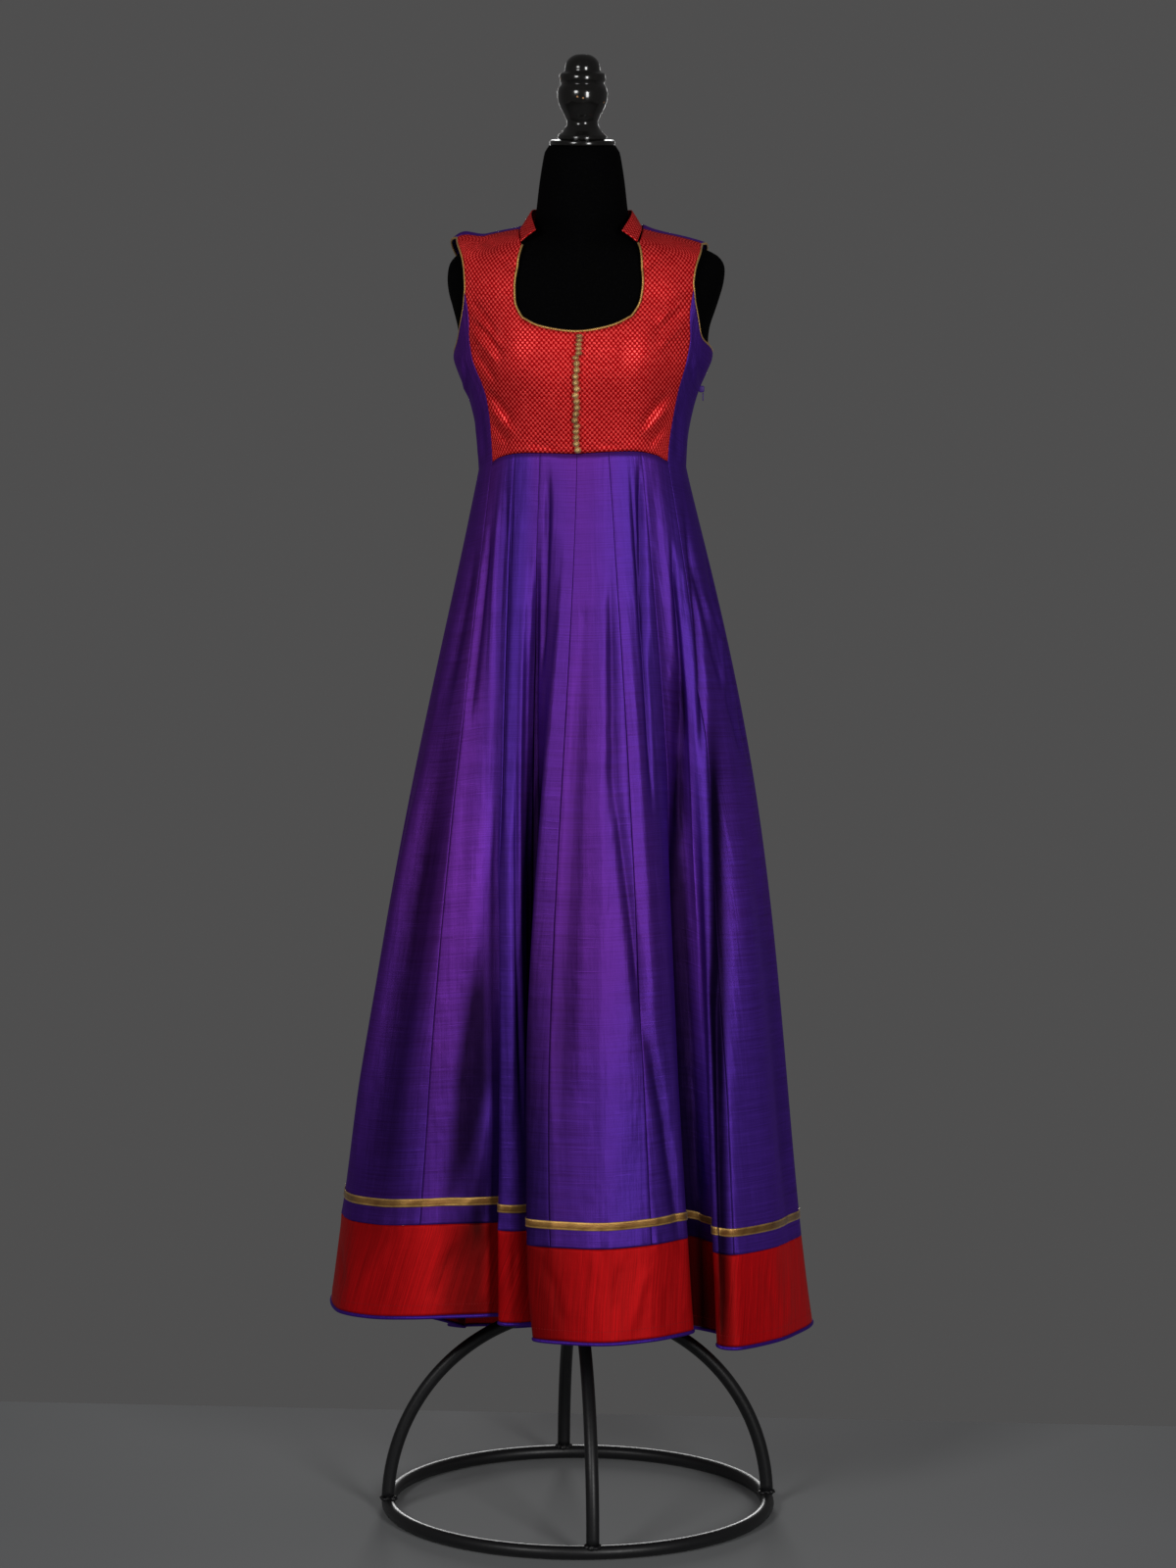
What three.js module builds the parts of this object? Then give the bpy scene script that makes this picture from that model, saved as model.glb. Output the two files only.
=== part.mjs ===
// Sleeveless anarkali kurti on a limbless dress form with an iron cage stand.
// Millimetres, +Z up, wearer facing -Y, origin on the floor under the pole.
import * as THREE from 'three';

// ---------------------------------------------------------------- driving sizes
const SEAM_GAP = 0.3;          // clearance between neighbouring pieces
const WAIST_GAP = 0.6;         // drop of the skirt's top edge below the yoke
const WALL = 1.5;              // thickness of every cloth wall
const EASE = 5;                // outside of the bodice cloth beyond the body's sections
const FORM_INSET = 1.5;        // the form inside the same sections
const HANG = 0.022;            // the bodice hangs higher towards +X, per mm
const TORSO_HEART = 1445;      // height that the bodice is spread out from
const TIP = { lift: 14, inner: 115, outer: 152, low: 1500, high: 1555 };   // -X shoulder tip
const SHOULDER_TOP = { low: 1480, high: 1580 };   // where the cloth is grown upward too
const SHOULDER_HEART = 1520;
const CAST = { reach: 420, steps: 34 };           // halvings of a ray of that length

const BORDER = 115;            // width of the red hem band
const RIBBON = 10;             // width of the gold ribbon
const RIBBON_RISE = 22;        // ribbon above the seam of the hem band
const FOLD_GROWTH = 1.2;       // how late the folds open below the waist
const HEM_HALF_WIDTH = 300;    // the hem as a plain oval, before its folds
const HEM_HALF_DEPTH = 232;
const BOW_SHAPE = [1.3, 2];    // how the belly of the cloth rises and falls
const LEAN_SHAPE = [2, 1];     // and its shift to the side


const PIPING_RADIUS = 1.3;
const PIPING_SIDES = 6;
const HEM_PIPING_RADIUS = 2.3;
const HEM_PIPING_SIDES = 5;
const RIBBON_FACE = 1.3;       // the ribbon's two faces above the cloth
const RIBBON_BACK = 0.5;
const BUTTON = { width: 7.6, height: 7, gap: 0.25, around: 7, rings: 4 };

const RING = { radius: 235, tube: 17, sides: 8, segments: 40 };
const LEG = { arc: 236, rise: 244, radius: 8, sides: 8, turn: 8.5, steps: 14 };
const POLE = { radius: 12.5, sleeve: 17, sleeveBottom: 240, sleeveTop: 306 };
const FORM_BOTTOM = 935;
const FORM_TOP = 1681;

// ---------------------------------------------------------------- colours
const SILK = { color: 0x47148c, roughness: 0.42, metalness: 0 };
const RED_SILK = { color: 0xc8171d, roughness: 0.5, metalness: 0 };
const BROCADE = { color: 0xc41c22, roughness: 0.55, metalness: 0 };
const GOLD = { color: 0xb98a3c, roughness: 0.45, metalness: 0.35 };
const JERSEY = { color: 0x050506, roughness: 0.95, metalness: 0 };
const LACQUER = { color: 0x0a0908, roughness: 0.2, metalness: 0 };
const IRON = { color: 0x101012, roughness: 0.45, metalness: 0.6 };
const ZIP = { color: 0x3d1a78, roughness: 0.35, metalness: 0.3 };

// ---------------------------------------------------------------- tables
// The form from the hips to the top of the neck, one row per level. Its outline
// there is a superellipse: half width on either side of the midline, -X and +X,
// depth in front and behind, squareness.
const FORM = [
  { z: 935, left: 138.5, right: 141, front: 84, back: 96, power: 2.2 },
  { z: 955, left: 147.5, right: 150, front: 91, back: 107, power: 2.2 },
  { z: 1010, left: 150.5, right: 154.5, front: 96, back: 112, power: 2.2 },
  { z: 1080, left: 140, right: 144.5, front: 95.5, back: 103, power: 2.2 },
  { z: 1150, left: 123.5, right: 127.5, front: 91, back: 90, power: 2.2 },
  { z: 1215, left: 114.5, right: 118, front: 87, back: 81.5, power: 2.2 },
  { z: 1293, left: 119, right: 122, front: 88.5, back: 84, power: 2.3 },
  { z: 1333, left: 121.5, right: 124, front: 92, back: 86, power: 2.3 },
  { z: 1362, left: 126.5, right: 129.5, front: 96.5, back: 88.5, power: 2.3 },
  { z: 1390, left: 136, right: 137.5, front: 100, back: 90, power: 2.3 },
  { z: 1409, left: 144, right: 145.5, front: 102, back: 90, power: 2.3 },
  { z: 1426, left: 149.5, right: 152.5, front: 102, back: 90, power: 2.3 },
  { z: 1442, left: 148, right: 153.5, front: 102, back: 89.5, power: 2.3 },
  { z: 1465, left: 151.5, right: 156, front: 99.5, back: 88.5, power: 2.25 },
  { z: 1488, left: 157.5, right: 163.5, front: 94.5, back: 87, power: 2.15 },
  { z: 1504, left: 162, right: 168.5, front: 89.5, back: 85, power: 2.05 },
  { z: 1520, left: 164, right: 172.5, front: 85, back: 82, power: 1.95 },
  { z: 1537, left: 162, right: 173.5, front: 79.5, back: 78, power: 1.8 },
  { z: 1546, left: 157, right: 170, front: 76.5, back: 76, power: 1.7 },
  { z: 1553, left: 149, right: 163, front: 74.5, back: 74.5, power: 1.6 },
  { z: 1559, left: 141, right: 151, front: 73, back: 73, power: 1.5 },
  { z: 1564, left: 132, right: 137, front: 71.5, back: 71.5, power: 1.4 },
  { z: 1569, left: 117, right: 117.5, front: 70, back: 70, power: 1.35 },
  { z: 1574, left: 94, right: 94.5, front: 68, back: 68, power: 1.25 },
  { z: 1579, left: 71, right: 77.5, front: 66, back: 66, power: 1.25 },
  { z: 1587, left: 60.5, right: 63, front: 62.5, back: 62.5, power: 1.4 },
  { z: 1598, left: 57.5, right: 58, front: 59, back: 59, power: 1.75 },
  { z: 1610, left: 56, right: 56, front: 56, back: 56, power: 2 },
  { z: 1640, left: 52.5, right: 52.5, front: 52.5, back: 52.5, power: 2 },
  { z: 1668, left: 48, right: 48, front: 48, back: 48, power: 2 },
  { z: 1677, left: 45.5, right: 45.5, front: 45.5, back: 45.5, power: 2 },
  { z: 1681, left: 41.5, right: 41.5, front: 41.5, back: 41.5, power: 2 },
];
const BUST = { x: 71, z: 1429, rise: 11, width: 46, height: 50 };

// Edges and seams of the bodice as distances from the midline at a height, on
// its -X (left) and +X (right) side. The neckline runs up to the collar's end.
const NECKLINE = [
  { left: -2, right: 2, z: 1463.8 }, { left: 24, right: 27, z: 1466.4 },
  { left: 48, right: 50, z: 1472.3 }, { left: 65.5, right: 68, z: 1481.3 },
  { left: 74, right: 77, z: 1497 }, { left: 76, right: 80, z: 1516.5 },
  { left: 74, right: 78.5, z: 1541 }, { left: 68.5, right: 72.5, z: 1566.5 },
];
// Covered buttons down the front, the first ones crowded.
const BUTTONS = [
  { x: 5.4, z: 1459.3 }, { x: 5.4, z: 1454.6 }, { x: 4.6, z: 1449.6 }, { x: 4.8, z: 1444.7 },
  { x: 4.8, z: 1439.3 }, { x: 1.3, z: 1434 }, { x: 2.5, z: 1426.9 }, { x: 2.5, z: 1419.4 },
  { x: 1.1, z: 1411.6 }, { x: 1.3, z: 1404.3 }, { x: 2.4, z: 1396.8 }, { x: 0.9, z: 1389 },
  { x: 2.2, z: 1381.6 }, { x: 2.5, z: 1374.3 }, { x: 1.3, z: 1366.7 }, { x: 0.1, z: 1359.1 },
  { x: 2.2, z: 1352 }, { x: 1.1, z: 1345.6 }, { x: 1.5, z: 1338.3 }, { x: 1.5, z: 1330.9 },
  { x: 3.1, z: 1323.2 },
];
// Armhole below the shoulder tip, down to the underarm.
const ARMHOLE_FRONT = [
  { left: 142.5, right: 144.5, z: 1557 }, { left: 138.5, right: 140.5, z: 1540.5 },
  { left: 136.5, right: 137.5, z: 1518 }, { left: 138.5, right: 140.5, z: 1491 },
  { left: 143, right: 144.5, z: 1468 }, { left: 147.5, right: 148.5, z: 1450 },
];
const ARMHOLE_BACK = [
  { left: 150, right: 144.5, z: 1542 }, { left: 145, right: 142, z: 1520 },
  { left: 141, right: 141, z: 1494.5 }, { left: 143, right: 144, z: 1468.5 },
  { left: 146, right: 148.5, z: 1449.5 }, { left: 149, right: 152, z: 1438 },
];
const UNDERARM_Z = 1431;
// Seam from the armhole down to just above the waist.
const PRINCESS_FRONT = [
  { left: 136.8, right: 138.2, z: 1510.5 }, { left: 131.5, right: 134.5, z: 1482.5 },
  { left: 130, right: 135, z: 1450.5 }, { left: 124.5, right: 131, z: 1425.5 },
  { left: 114.5, right: 124.5, z: 1401.5 }, { left: 107, right: 117.5, z: 1371.5 },
  { left: 104.5, right: 111.5, z: 1337.5 },
];
const PRINCESS_BACK = [
  { left: 141.6, right: 142, z: 1486.5 }, { left: 133.5, right: 133.5, z: 1457 },
  { left: 124.5, right: 127.5, z: 1422.5 }, { left: 120, right: 123, z: 1397.5 },
  { left: 114.5, right: 117, z: 1375 }, { left: 109.5, right: 112.5, z: 1347 },
  { left: 106.5, right: 109, z: 1317 },
];
// Collar behind the shoulder seam: its foot, then its top edge from the front end.
const COLLAR_FOOT = [{ x: 53, y: 57, z: 1577 }, { x: 0, y: 75, z: 1573 }];
const COLLAR_TOP = [
  { x: 52, y: -55, z: 1583 }, { x: 61, y: -3, z: 1603 },
  { x: 43, y: 46, z: 1602 }, { x: 0, y: 62, z: 1601 },
];
const COLLAR_START = 0.13;       // share of its height that it starts above the foot
const COLLAR_AIM = 18;           // its inside lies toward the axis this far below
const NECK_POINT = 74.5;         // where the shoulder seam meets the collar
const SHOULDER_TIP = { left: 149.5, right: 144.5 };
const SHOULDER_SEAM_LEAN = 12; // degrees that the shoulder seam lies in front
const SIDE = 130;              // half width that the hang of the side seams is taken at

// Seams round the waist, degrees from straight ahead towards +X. Panels lie
// between them: side front, six gores, side front, side back, six, side back.
const WAIST_SEAMS = [
  -91, -60, -42, -25, 1, 23, 43.5, 62.5, 91, 120, 139, 158, 180, 202, 221, 240, 269,
];
// Height of the waist line by its angle from straight ahead, to either side.
const WAIST = [
  { ahead: 0, z: 1318.5 }, { ahead: 25, z: 1320 }, { ahead: 42, z: 1319 },
  { ahead: 54, z: 1313 }, { ahead: 62, z: 1305 }, { ahead: 91, z: 1293 },
  { ahead: 180, z: 1293 },
];
// Folds round the hem. at: panels from the left side seam; angle: degrees from
// straight ahead; reach: distance from the pole; hem: height; bow: belly of the
// cloth two fifths of the way down; lean: its shift towards +X two thirds down.
const FOLDS = [
  { at: 0.00, angle: -90.5, reach: 308, hem: 259, bow: 8, lean: -9 },
  { at: 0.47, angle: -69.5, reach: 305, hem: 267, bow: 6, lean: -9 },
  { at: 0.73, angle: -58.5, reach: 284, hem: 270, bow: 3, lean: -6 },
  { at: 1.00, angle: -48, reach: 252, hem: 275, bow: 1, lean: -3 },
  { at: 1.40, angle: -37.5, reach: 199, hem: 276, bow: 0, lean: 0 },
  { at: 1.74, angle: -27.5, reach: 159, hem: 274, bow: 0, lean: 0 },
  { at: 2.00, angle: -25.5, reach: 197, hem: 273, bow: 2, lean: 0 },
  { at: 2.30, angle: -17.5, reach: 193, hem: 273, bow: 3, lean: 0 },
  { at: 2.60, angle: -12.5, reach: 172, hem: 272, bow: 3, lean: -9 },
  { at: 3.00, angle: -6, reach: 133, hem: 270, bow: 3, lean: -20 },
  { at: 3.44, angle: -4.5, reach: 190, hem: 270, bow: 4, lean: -26 },
  { at: 3.79, angle: -8.5, reach: 246, hem: 270, bow: 5, lean: -26 },
  { at: 4.00, angle: -2, reach: 258, hem: 270, bow: 6, lean: -16 },
  { at: 4.49, angle: 11.5, reach: 264, hem: 269, bow: 7, lean: -5 },
  { at: 5.00, angle: 25, reach: 262, hem: 271, bow: 8, lean: 0 },
  { at: 5.49, angle: 37.5, reach: 247, hem: 271, bow: 9, lean: 0 },
  { at: 6.00, angle: 46, reach: 202, hem: 263, bow: 10, lean: 0 },
  { at: 6.24, angle: 55.5, reach: 195, hem: 254, bow: 12, lean: 0 },
  { at: 6.44, angle: 56.5, reach: 222, hem: 250, bow: 14, lean: 0 },
  { at: 6.81, angle: 45.5, reach: 252, hem: 248, bow: 16, lean: 0 },
  { at: 7.00, angle: 50, reach: 273, hem: 247, bow: 18, lean: 0 },
  { at: 7.42, angle: 69.5, reach: 279, hem: 243, bow: 21, lean: 0 },
  { at: 8.00, angle: 95, reach: 291, hem: 234, bow: 25, lean: 0 },
  { at: 8.38, angle: 109, reach: 272, hem: 224, bow: 25, lean: 0 },
  { at: 8.62, angle: 117.5, reach: 250, hem: 217, bow: 26, lean: 0 },
  { at: 8.84, angle: 120.5, reach: 203, hem: 215, bow: 25, lean: 0 },
  { at: 9.05, angle: 125.5, reach: 238, hem: 210, bow: 26, lean: 0 },
  { at: 9.35, angle: 134, reach: 247, hem: 205, bow: 25, lean: 0 },
  { at: 9.65, angle: 142, reach: 233, hem: 200, bow: 24, lean: 0 },
  { at: 9.92, angle: 144, reach: 195, hem: 199, bow: 24, lean: 0 },
  { at: 10.20, angle: 148, reach: 227, hem: 196, bow: 24, lean: 0 },
  { at: 10.50, angle: 155, reach: 241, hem: 189, bow: 24, lean: 0 },
  { at: 10.85, angle: 165, reach: 240, hem: 186, bow: 24, lean: 0 },
  { at: 11.10, angle: 169.5, reach: 221, hem: 188, bow: 24, lean: 0 },
  { at: 11.35, angle: 170.5, reach: 189, hem: 189, bow: 24, lean: 0 },
  { at: 11.65, angle: 173.5, reach: 224, hem: 188, bow: 24, lean: 0 },
  { at: 12.00, angle: 181, reach: 250, hem: 174, bow: 24, lean: 0 },
  { at: 12.40, angle: 192, reach: 250, hem: 172, bow: 24, lean: 0 },
  { at: 12.70, angle: 198, reach: 230, hem: 176, bow: 24, lean: 0 },
  { at: 12.95, angle: 201.5, reach: 201, hem: 182, bow: 23, lean: 0 },
  { at: 13.25, angle: 205.5, reach: 232, hem: 175, bow: 22, lean: 0 },
  { at: 13.55, angle: 211.5, reach: 249, hem: 176, bow: 21, lean: 0 },
  { at: 13.90, angle: 221, reach: 254, hem: 180, bow: 20, lean: 0 },
  { at: 14.15, angle: 228, reach: 237, hem: 188, bow: 18, lean: 0 },
  { at: 14.40, angle: 230.5, reach: 200, hem: 194, bow: 16, lean: 0 },
  { at: 14.70, angle: 234, reach: 242, hem: 201, bow: 14, lean: 0 },
  { at: 15.00, angle: 241.5, reach: 264, hem: 211, bow: 13, lean: 0 },
  { at: 15.22, angle: 247, reach: 239, hem: 218, bow: 12, lean: 0 },
  { at: 15.45, angle: 251.5, reach: 283, hem: 224, bow: 8, lean: -6 },
  { at: 15.72, angle: 261, reach: 302, hem: 238, bow: 8, lean: -9 },
];
const PANELS = 16;

// Panel seams where lengths of the hem band are joined.
const HEM_JOINTS = [3, 6, 11, 15];

// Turned outlines, radius and height.
const NECK_CAP = [
  [0, 1681.4], [37.5, 1681.4], [39, 1682.5], [39, 1686.7], [38, 1687.6], [0, 1687.6],
];
const FINIAL = [
  [0, 1688], [28.3, 1688], [29.3, 1690], [29, 1693], [26.5, 1695.5], [21.5, 1701],
  [18.6, 1707.5], [19.5, 1713], [24, 1721.5], [28.6, 1732], [29.9, 1741.5], [29, 1749],
  [26, 1754], [25, 1755.5], [26.6, 1757.5], [27.6, 1762], [26.5, 1767], [22.5, 1768.8],
  [21.2, 1770.5], [20.8, 1776], [17.5, 1783.5], [10, 1789], [0, 1790.5],
];
const POLE_OUTLINE = [
  [0, POLE.sleeveBottom], [POLE.sleeve, POLE.sleeveBottom], [POLE.sleeve, POLE.sleeveTop],
  [POLE.radius, POLE.sleeveTop], [POLE.radius, FORM_BOTTOM - SEAM_GAP], [0, FORM_BOTTOM - SEAM_GAP],
];
const TURNED_SIDES = 20;
const CAP_SIDES = 28;
const FORM_SIDES = 32;
const FORM_LEVELS = [
  935, 955, 1010, 1080, 1150, 1215, 1293, 1333, 1365, 1390, 1409, 1429, 1465, 1495, 1520,
  1537, 1550, 1559, 1567, 1574, 1580, 1588, 1600, 1640, 1668, 1681,
];
// The zip's slider and the tab that hangs from it, outlines from the pivot.
const ZIP_SLIDER = { z: 1390, off: 2.1, depth: 2.6 };
const SLIDER_OUTLINE = [[-2, -4], [2, -4], [3, 1], [2.4, 4], [-2.4, 4], [-3, 1]];
const ZIP_PULL = { z: 1384.4, off: 2.7, depth: 1.1 };
const TAB = { head: 1.5, top: 1, half: 2.2, straight: 6.5, tip: 8.5, steps: 3 };

// How finely the cloth is divided.
const GORE_STEPS = 6;
const SIDE_STEPS = 8;
const SIDE_ROWS = 8;
const ARM_STEPS = 7;
const WAIST_STEPS = 20;
const FRONT_ROWS = 6;
const BACK_ROWS = 9;
const COLLAR_END = 3;            // columns of the front yoke that meet the collar
const COLLAR_STEPS = 27;
const SKIRT_LEVELS = [0, 0.12, 0.3, 0.52, 0.72];

// ---------------------------------------------------------------- small maths
const radians = THREE.MathUtils.degToRad;
const vec = (x, y, z) => new THREE.Vector3(x, y, z);
const range = (count) => Array.from({ length: count }, (_, i) => i);
const smooth = (low, high, value) => THREE.MathUtils.smoothstep(value, low, high);
const mix = (a, b, share) => a + (b - a) * share;
const bearing = (angle) => vec(Math.sin(radians(angle)), -Math.cos(radians(angle)), 0);

// A smooth curve through a table: the column `value` over the column `key`.
function curveOf(rows, key, value, period = 0) {
  const keys = rows.map((row) => row[key]);
  const values = rows.map(value);
  const last = rows.length - 1;
  const at = (i) => {
    const near = THREE.MathUtils.clamp(i, 0, last);
    if (!period) return [keys[near], values[near]];
    const turn = Math.floor(i / rows.length);
    const own = i - turn * rows.length;
    return [keys[own] + turn * period, values[own]];
  };
  const slope = (i) => {
    const [k0, v0] = at(i - 1);
    const [k1, v1] = at(i + 1);
    return k1 === k0 ? 0 : (v1 - v0) / (k1 - k0);
  };
  return (wanted) => {
    const x = period ? THREE.MathUtils.euclideanModulo(wanted, period)
      : THREE.MathUtils.clamp(wanted, keys[0], keys[last]);
    let i = keys.findIndex((k) => k > x) - 1;
    if (i < 0) i = period ? last : last - 1;
    const [k0, v0] = at(i);
    const [k1, v1] = at(i + 1);
    const span = k1 - k0;
    const s = (x - k0) / span;
    const bend = (v0 + v0 - v1 - v1 + span * (slope(i) + slope(i + 1))) * s ** 3;
    const turn = (3 * (v1 - v0) - span * (2 * slope(i) + slope(i + 1))) * s ** 2;
    return bend + turn + span * slope(i) * s + v0;
  };
}

// Points spread evenly by length along a polyline through `points`.
function spread(points, count) {
  const path = new THREE.CatmullRomCurve3(points, false, 'centripetal');
  path.arcLengthDivisions = 40 * points.length;
  return range(count).map((i) => path.getPointAt(i / (count - 1)));
}

// ---------------------------------------------------------------- the torso
const formCurve = Object.fromEntries(['left', 'right', 'front', 'back', 'power'].map(
  (column) => [column, curveOf(FORM, 'z', (row) => row[column])]));

// Below 1 inside the torso grown by `grow`, above 1 outside. Only the cloth is
// grown, and it alone has the lifted shoulder tip.
function torsoLevel(p, grow) {
  const tip = smooth(TIP.inner, TIP.outer, -p.x) * smooth(TIP.low, TIP.high, p.z);
  const lift = grow > 0 ? TIP.lift * tip : 0;
  const z = p.z - lift - grow * smooth(SHOULDER_TOP.low, SHOULDER_TOP.high, p.z);
  const power = formCurve.power(z);
  const bump = (side) => Math.exp(-(((p.x - side * BUST.x) / BUST.width) ** 2)
    - ((z - BUST.z) / BUST.height) ** 2);
  const front = formCurve.front(z) + BUST.rise * (bump(-1) + bump(1));
  const depth = (p.y < 0 ? front : formCurve.back(z)) + grow;
  const half = (p.x < 0 ? formCurve.left(z) : formCurve.right(z)) + grow;
  return (Math.abs(p.x) / half) ** power + (Math.abs(p.y) / depth) ** power;
}

// The torso's surface, grown by `grow`, on the ray from `start` along `aim`.
function cast(start, aim, grow) {
  const unit = aim.clone().normalize();
  let inside = 0;
  let outside = CAST.reach;
  for (let step = 0; step < CAST.steps; step += 1) {
    const middle = (inside + outside) / 2;
    const p = start.clone().addScaledVector(unit, middle);
    if (p.z <= FORM_TOP && torsoLevel(p, grow) < 1) inside = middle;
    else outside = middle;
  }
  return start.clone().addScaledVector(unit, inside);
}

const heart = vec(0, 0, TORSO_HEART);
const ontoCloth = (p) => cast(heart, p.clone().sub(heart), EASE);
const onFront = (x, z) => cast(vec(x, 0, z + HANG * x), vec(0, -1, 0), EASE);
const onBack = (x, z) => cast(vec(x, 0, z + HANG * x), vec(0, 1, 0), EASE);
const round = (angle, z) => cast(
  vec(0, 0, z + HANG * SIDE * bearing(angle).x), bearing(angle), EASE);
const fromMidline = (row, side) => (side < 0 ? -row.left : row.right);
const onShoulder = (x) => cast(vec(x, 0, SHOULDER_HEART),
  vec(0, -Math.sin(radians(SHOULDER_SEAM_LEAN)), Math.cos(radians(SHOULDER_SEAM_LEAN))), EASE);

// ---------------------------------------------------------------- the skirt
const hemX = curveOf(FOLDS, 'at', (row) => row.reach * bearing(row.angle).x, PANELS);
const hemY = curveOf(FOLDS, 'at', (row) => row.reach * bearing(row.angle).y, PANELS);
const hemZ = curveOf(FOLDS, 'at', (row) => row.hem, PANELS);
const bow = curveOf(FOLDS, 'at', (row) => row.bow, PANELS);
const lean = curveOf(FOLDS, 'at', (row) => row.lean, PANELS);

function waistAngle(at) {
  const turn = Math.floor(at / PANELS);
  const own = at - turn * PANELS;
  const i = Math.min(Math.floor(own), PANELS - 1);
  return mix(WAIST_SEAMS[i], WAIST_SEAMS[i + 1], own - i) + 360 * turn;
}

const waistCurve = curveOf(WAIST, 'ahead', (row) => row.z);
const onWaist = (angle) => round(angle, waistCurve(
  Math.abs(THREE.MathUtils.euclideanModulo(angle + 180, 360) - 180)));

// A hump of height 1 over 0 to 1 that starts as down^rise and ends as (1 - down)^fall.
function swell(down, rise, fall) {
  const top = rise / (rise + fall);
  return (down / top) ** rise * ((1 - down) / (1 - top)) ** fall;
}

// A point of the skirt: `at` panels round, `down` from 0 at the waist to 1.
function skirt(at, down) {
  const angle = waistAngle(at);
  const out = bearing(angle);
  const waist = onWaist(angle);
  const oval = vec(out.x * HEM_HALF_WIDTH, out.y * HEM_HALF_DEPTH, 0);
  const hem = vec(hemX(at), hemY(at), 0);
  const p = waist.clone().lerp(oval, down);
  p.addScaledVector(hem.sub(oval), down ** FOLD_GROWTH);
  p.addScaledVector(out, bow(at) * swell(down, ...BOW_SHAPE));
  p.x += lean(at) * swell(down, ...LEAN_SHAPE);
  p.z = mix(waist.z, hemZ(at), down);
  return p;
}

const STEP_AT = 0.004;
const STEP_DOWN = 0.004;
function skirtNormal(at, down) {
  const low = Math.min(down, 1 - STEP_DOWN);
  const along = skirt(at + STEP_AT, down).sub(skirt(at - STEP_AT, down));
  const fall = skirt(at, low + STEP_DOWN).sub(skirt(at, low));
  return fall.cross(along).normalize();
}

// How far down a line stands that runs `rise` above the hem at `at`.
const downAbove = (at, rise) => 1 - rise / skirt(at, 0).distanceTo(skirt(at, 1));

// A seam's own line moved `shift` mm along the cloth.
function besideSeam(at, down, shift) {
  const rate = skirt(at + STEP_AT, down).distanceTo(skirt(at - STEP_AT, down)) / (2 * STEP_AT);
  return at + shift / rate;
}

// ---------------------------------------------------------------- solids
function solidFrom(points, triangles) {
  const geometry = new THREE.BufferGeometry();
  const flat = points.flatMap((p) => p.toArray());
  geometry.setAttribute('position', new THREE.Float32BufferAttribute(flat, 3));
  geometry.setIndex(triangles.flat());
  return geometry;
}

// A wall between two grids of points, rows[i][j]; `outer` faces outward when
// its rows run downward and its columns run towards +X in front.
function wall(outer, inner) {
  const rows = outer.length;
  const columns = outer[0].length;
  const points = [...outer.flat(), ...inner.flat()];
  const top = (i, j) => i * columns + j;
  const under = (i, j) => rows * columns + i * columns + j;
  const triangles = [];
  for (let i = 0; i < rows - 1; i += 1) {
    for (let j = 0; j < columns - 1; j += 1) {
      triangles.push([top(i, j), top(i + 1, j), top(i + 1, j + 1)]);
      triangles.push([top(i, j), top(i + 1, j + 1), top(i, j + 1)]);
      triangles.push([under(i, j), under(i + 1, j + 1), under(i + 1, j)]);
      triangles.push([under(i, j), under(i, j + 1), under(i + 1, j + 1)]);
    }
  }
  const rim = (a, b, c, d) => triangles.push([a, b, c], [a, c, d]);
  const foot = rows - 1;
  const side = columns - 1;
  for (let j = 0; j < side; j += 1) {
    rim(top(0, j), top(0, j + 1), under(0, j + 1), under(0, j));
    rim(top(foot, j + 1), top(foot, j), under(foot, j), under(foot, j + 1));
  }
  for (let i = 0; i < foot; i += 1) {
    rim(top(i + 1, 0), top(i, 0), under(i, 0), under(i + 1, 0));
    rim(top(i, side), top(i + 1, side), under(i + 1, side), under(i, side));
  }
  return solidFrom(points, triangles);
}

// A bar through sections of the same number of points; open bars get ends.
function bar(sections, closed) {
  const sides = sections[0].length;
  const count = sections.length;
  const points = sections.flat();
  const triangles = [];
  for (let i = 0; i < (closed ? count : count - 1); i += 1) {
    const next = (i + 1) % count;
    for (let k = 0; k < sides; k += 1) {
      const turn = (k + 1) % sides;
      triangles.push([i * sides + k, next * sides + turn, next * sides + k]);
      triangles.push([i * sides + k, i * sides + turn, next * sides + turn]);
    }
  }
  if (!closed) {
    for (let k = 1; k < sides - 1; k += 1) {
      const end = (count - 1) * sides;
      triangles.push([0, k + 1, k], [end, end + k, end + k + 1]);
    }
  }
  return solidFrom(points, triangles);
}

const part = new THREE.Group();
function add(name, geometry, finish) {
  const mesh = new THREE.Mesh(geometry, new THREE.MeshStandardMaterial(finish));
  mesh.name = name;
  part.add(mesh);
  return mesh;
}

// ---------------------------------------------------------------- bodice
// A bodice wall from a grid of rough points, each brought onto the torso.
function bodiceGrid(grid) {
  const outer = grid.map((row) => row.map(ontoCloth));
  const inside = (p) => cast(heart, p.clone().sub(heart), EASE - WALL);
  const inner = outer.map((row) => row.map(inside));
  return { outer, inner };
}

// The grid's points moved half a seam off its four edges, along its own lines.
function trimmed(grid, gap = SEAM_GAP / 2) {
  const pull = (row) => {
    const own = row.map((p) => p.clone());
    const last = row.length - 1;
    own[0].add(row[1].clone().sub(row[0]).setLength(gap));
    own[last].add(row[last - 1].clone().sub(row[last]).setLength(gap));
    return own;
  };
  const flip = (rows) => rows[0].map((_, j) => rows.map((row) => row[j]));
  return flip(flip(grid.map(pull)).map(pull));
}

const alongFront = (rows, side) => rows.map((row) => onFront(fromMidline(row, side), row.z));
const alongBack = (rows, side) => rows.map((row) => onBack(fromMidline(row, side), row.z));

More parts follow.
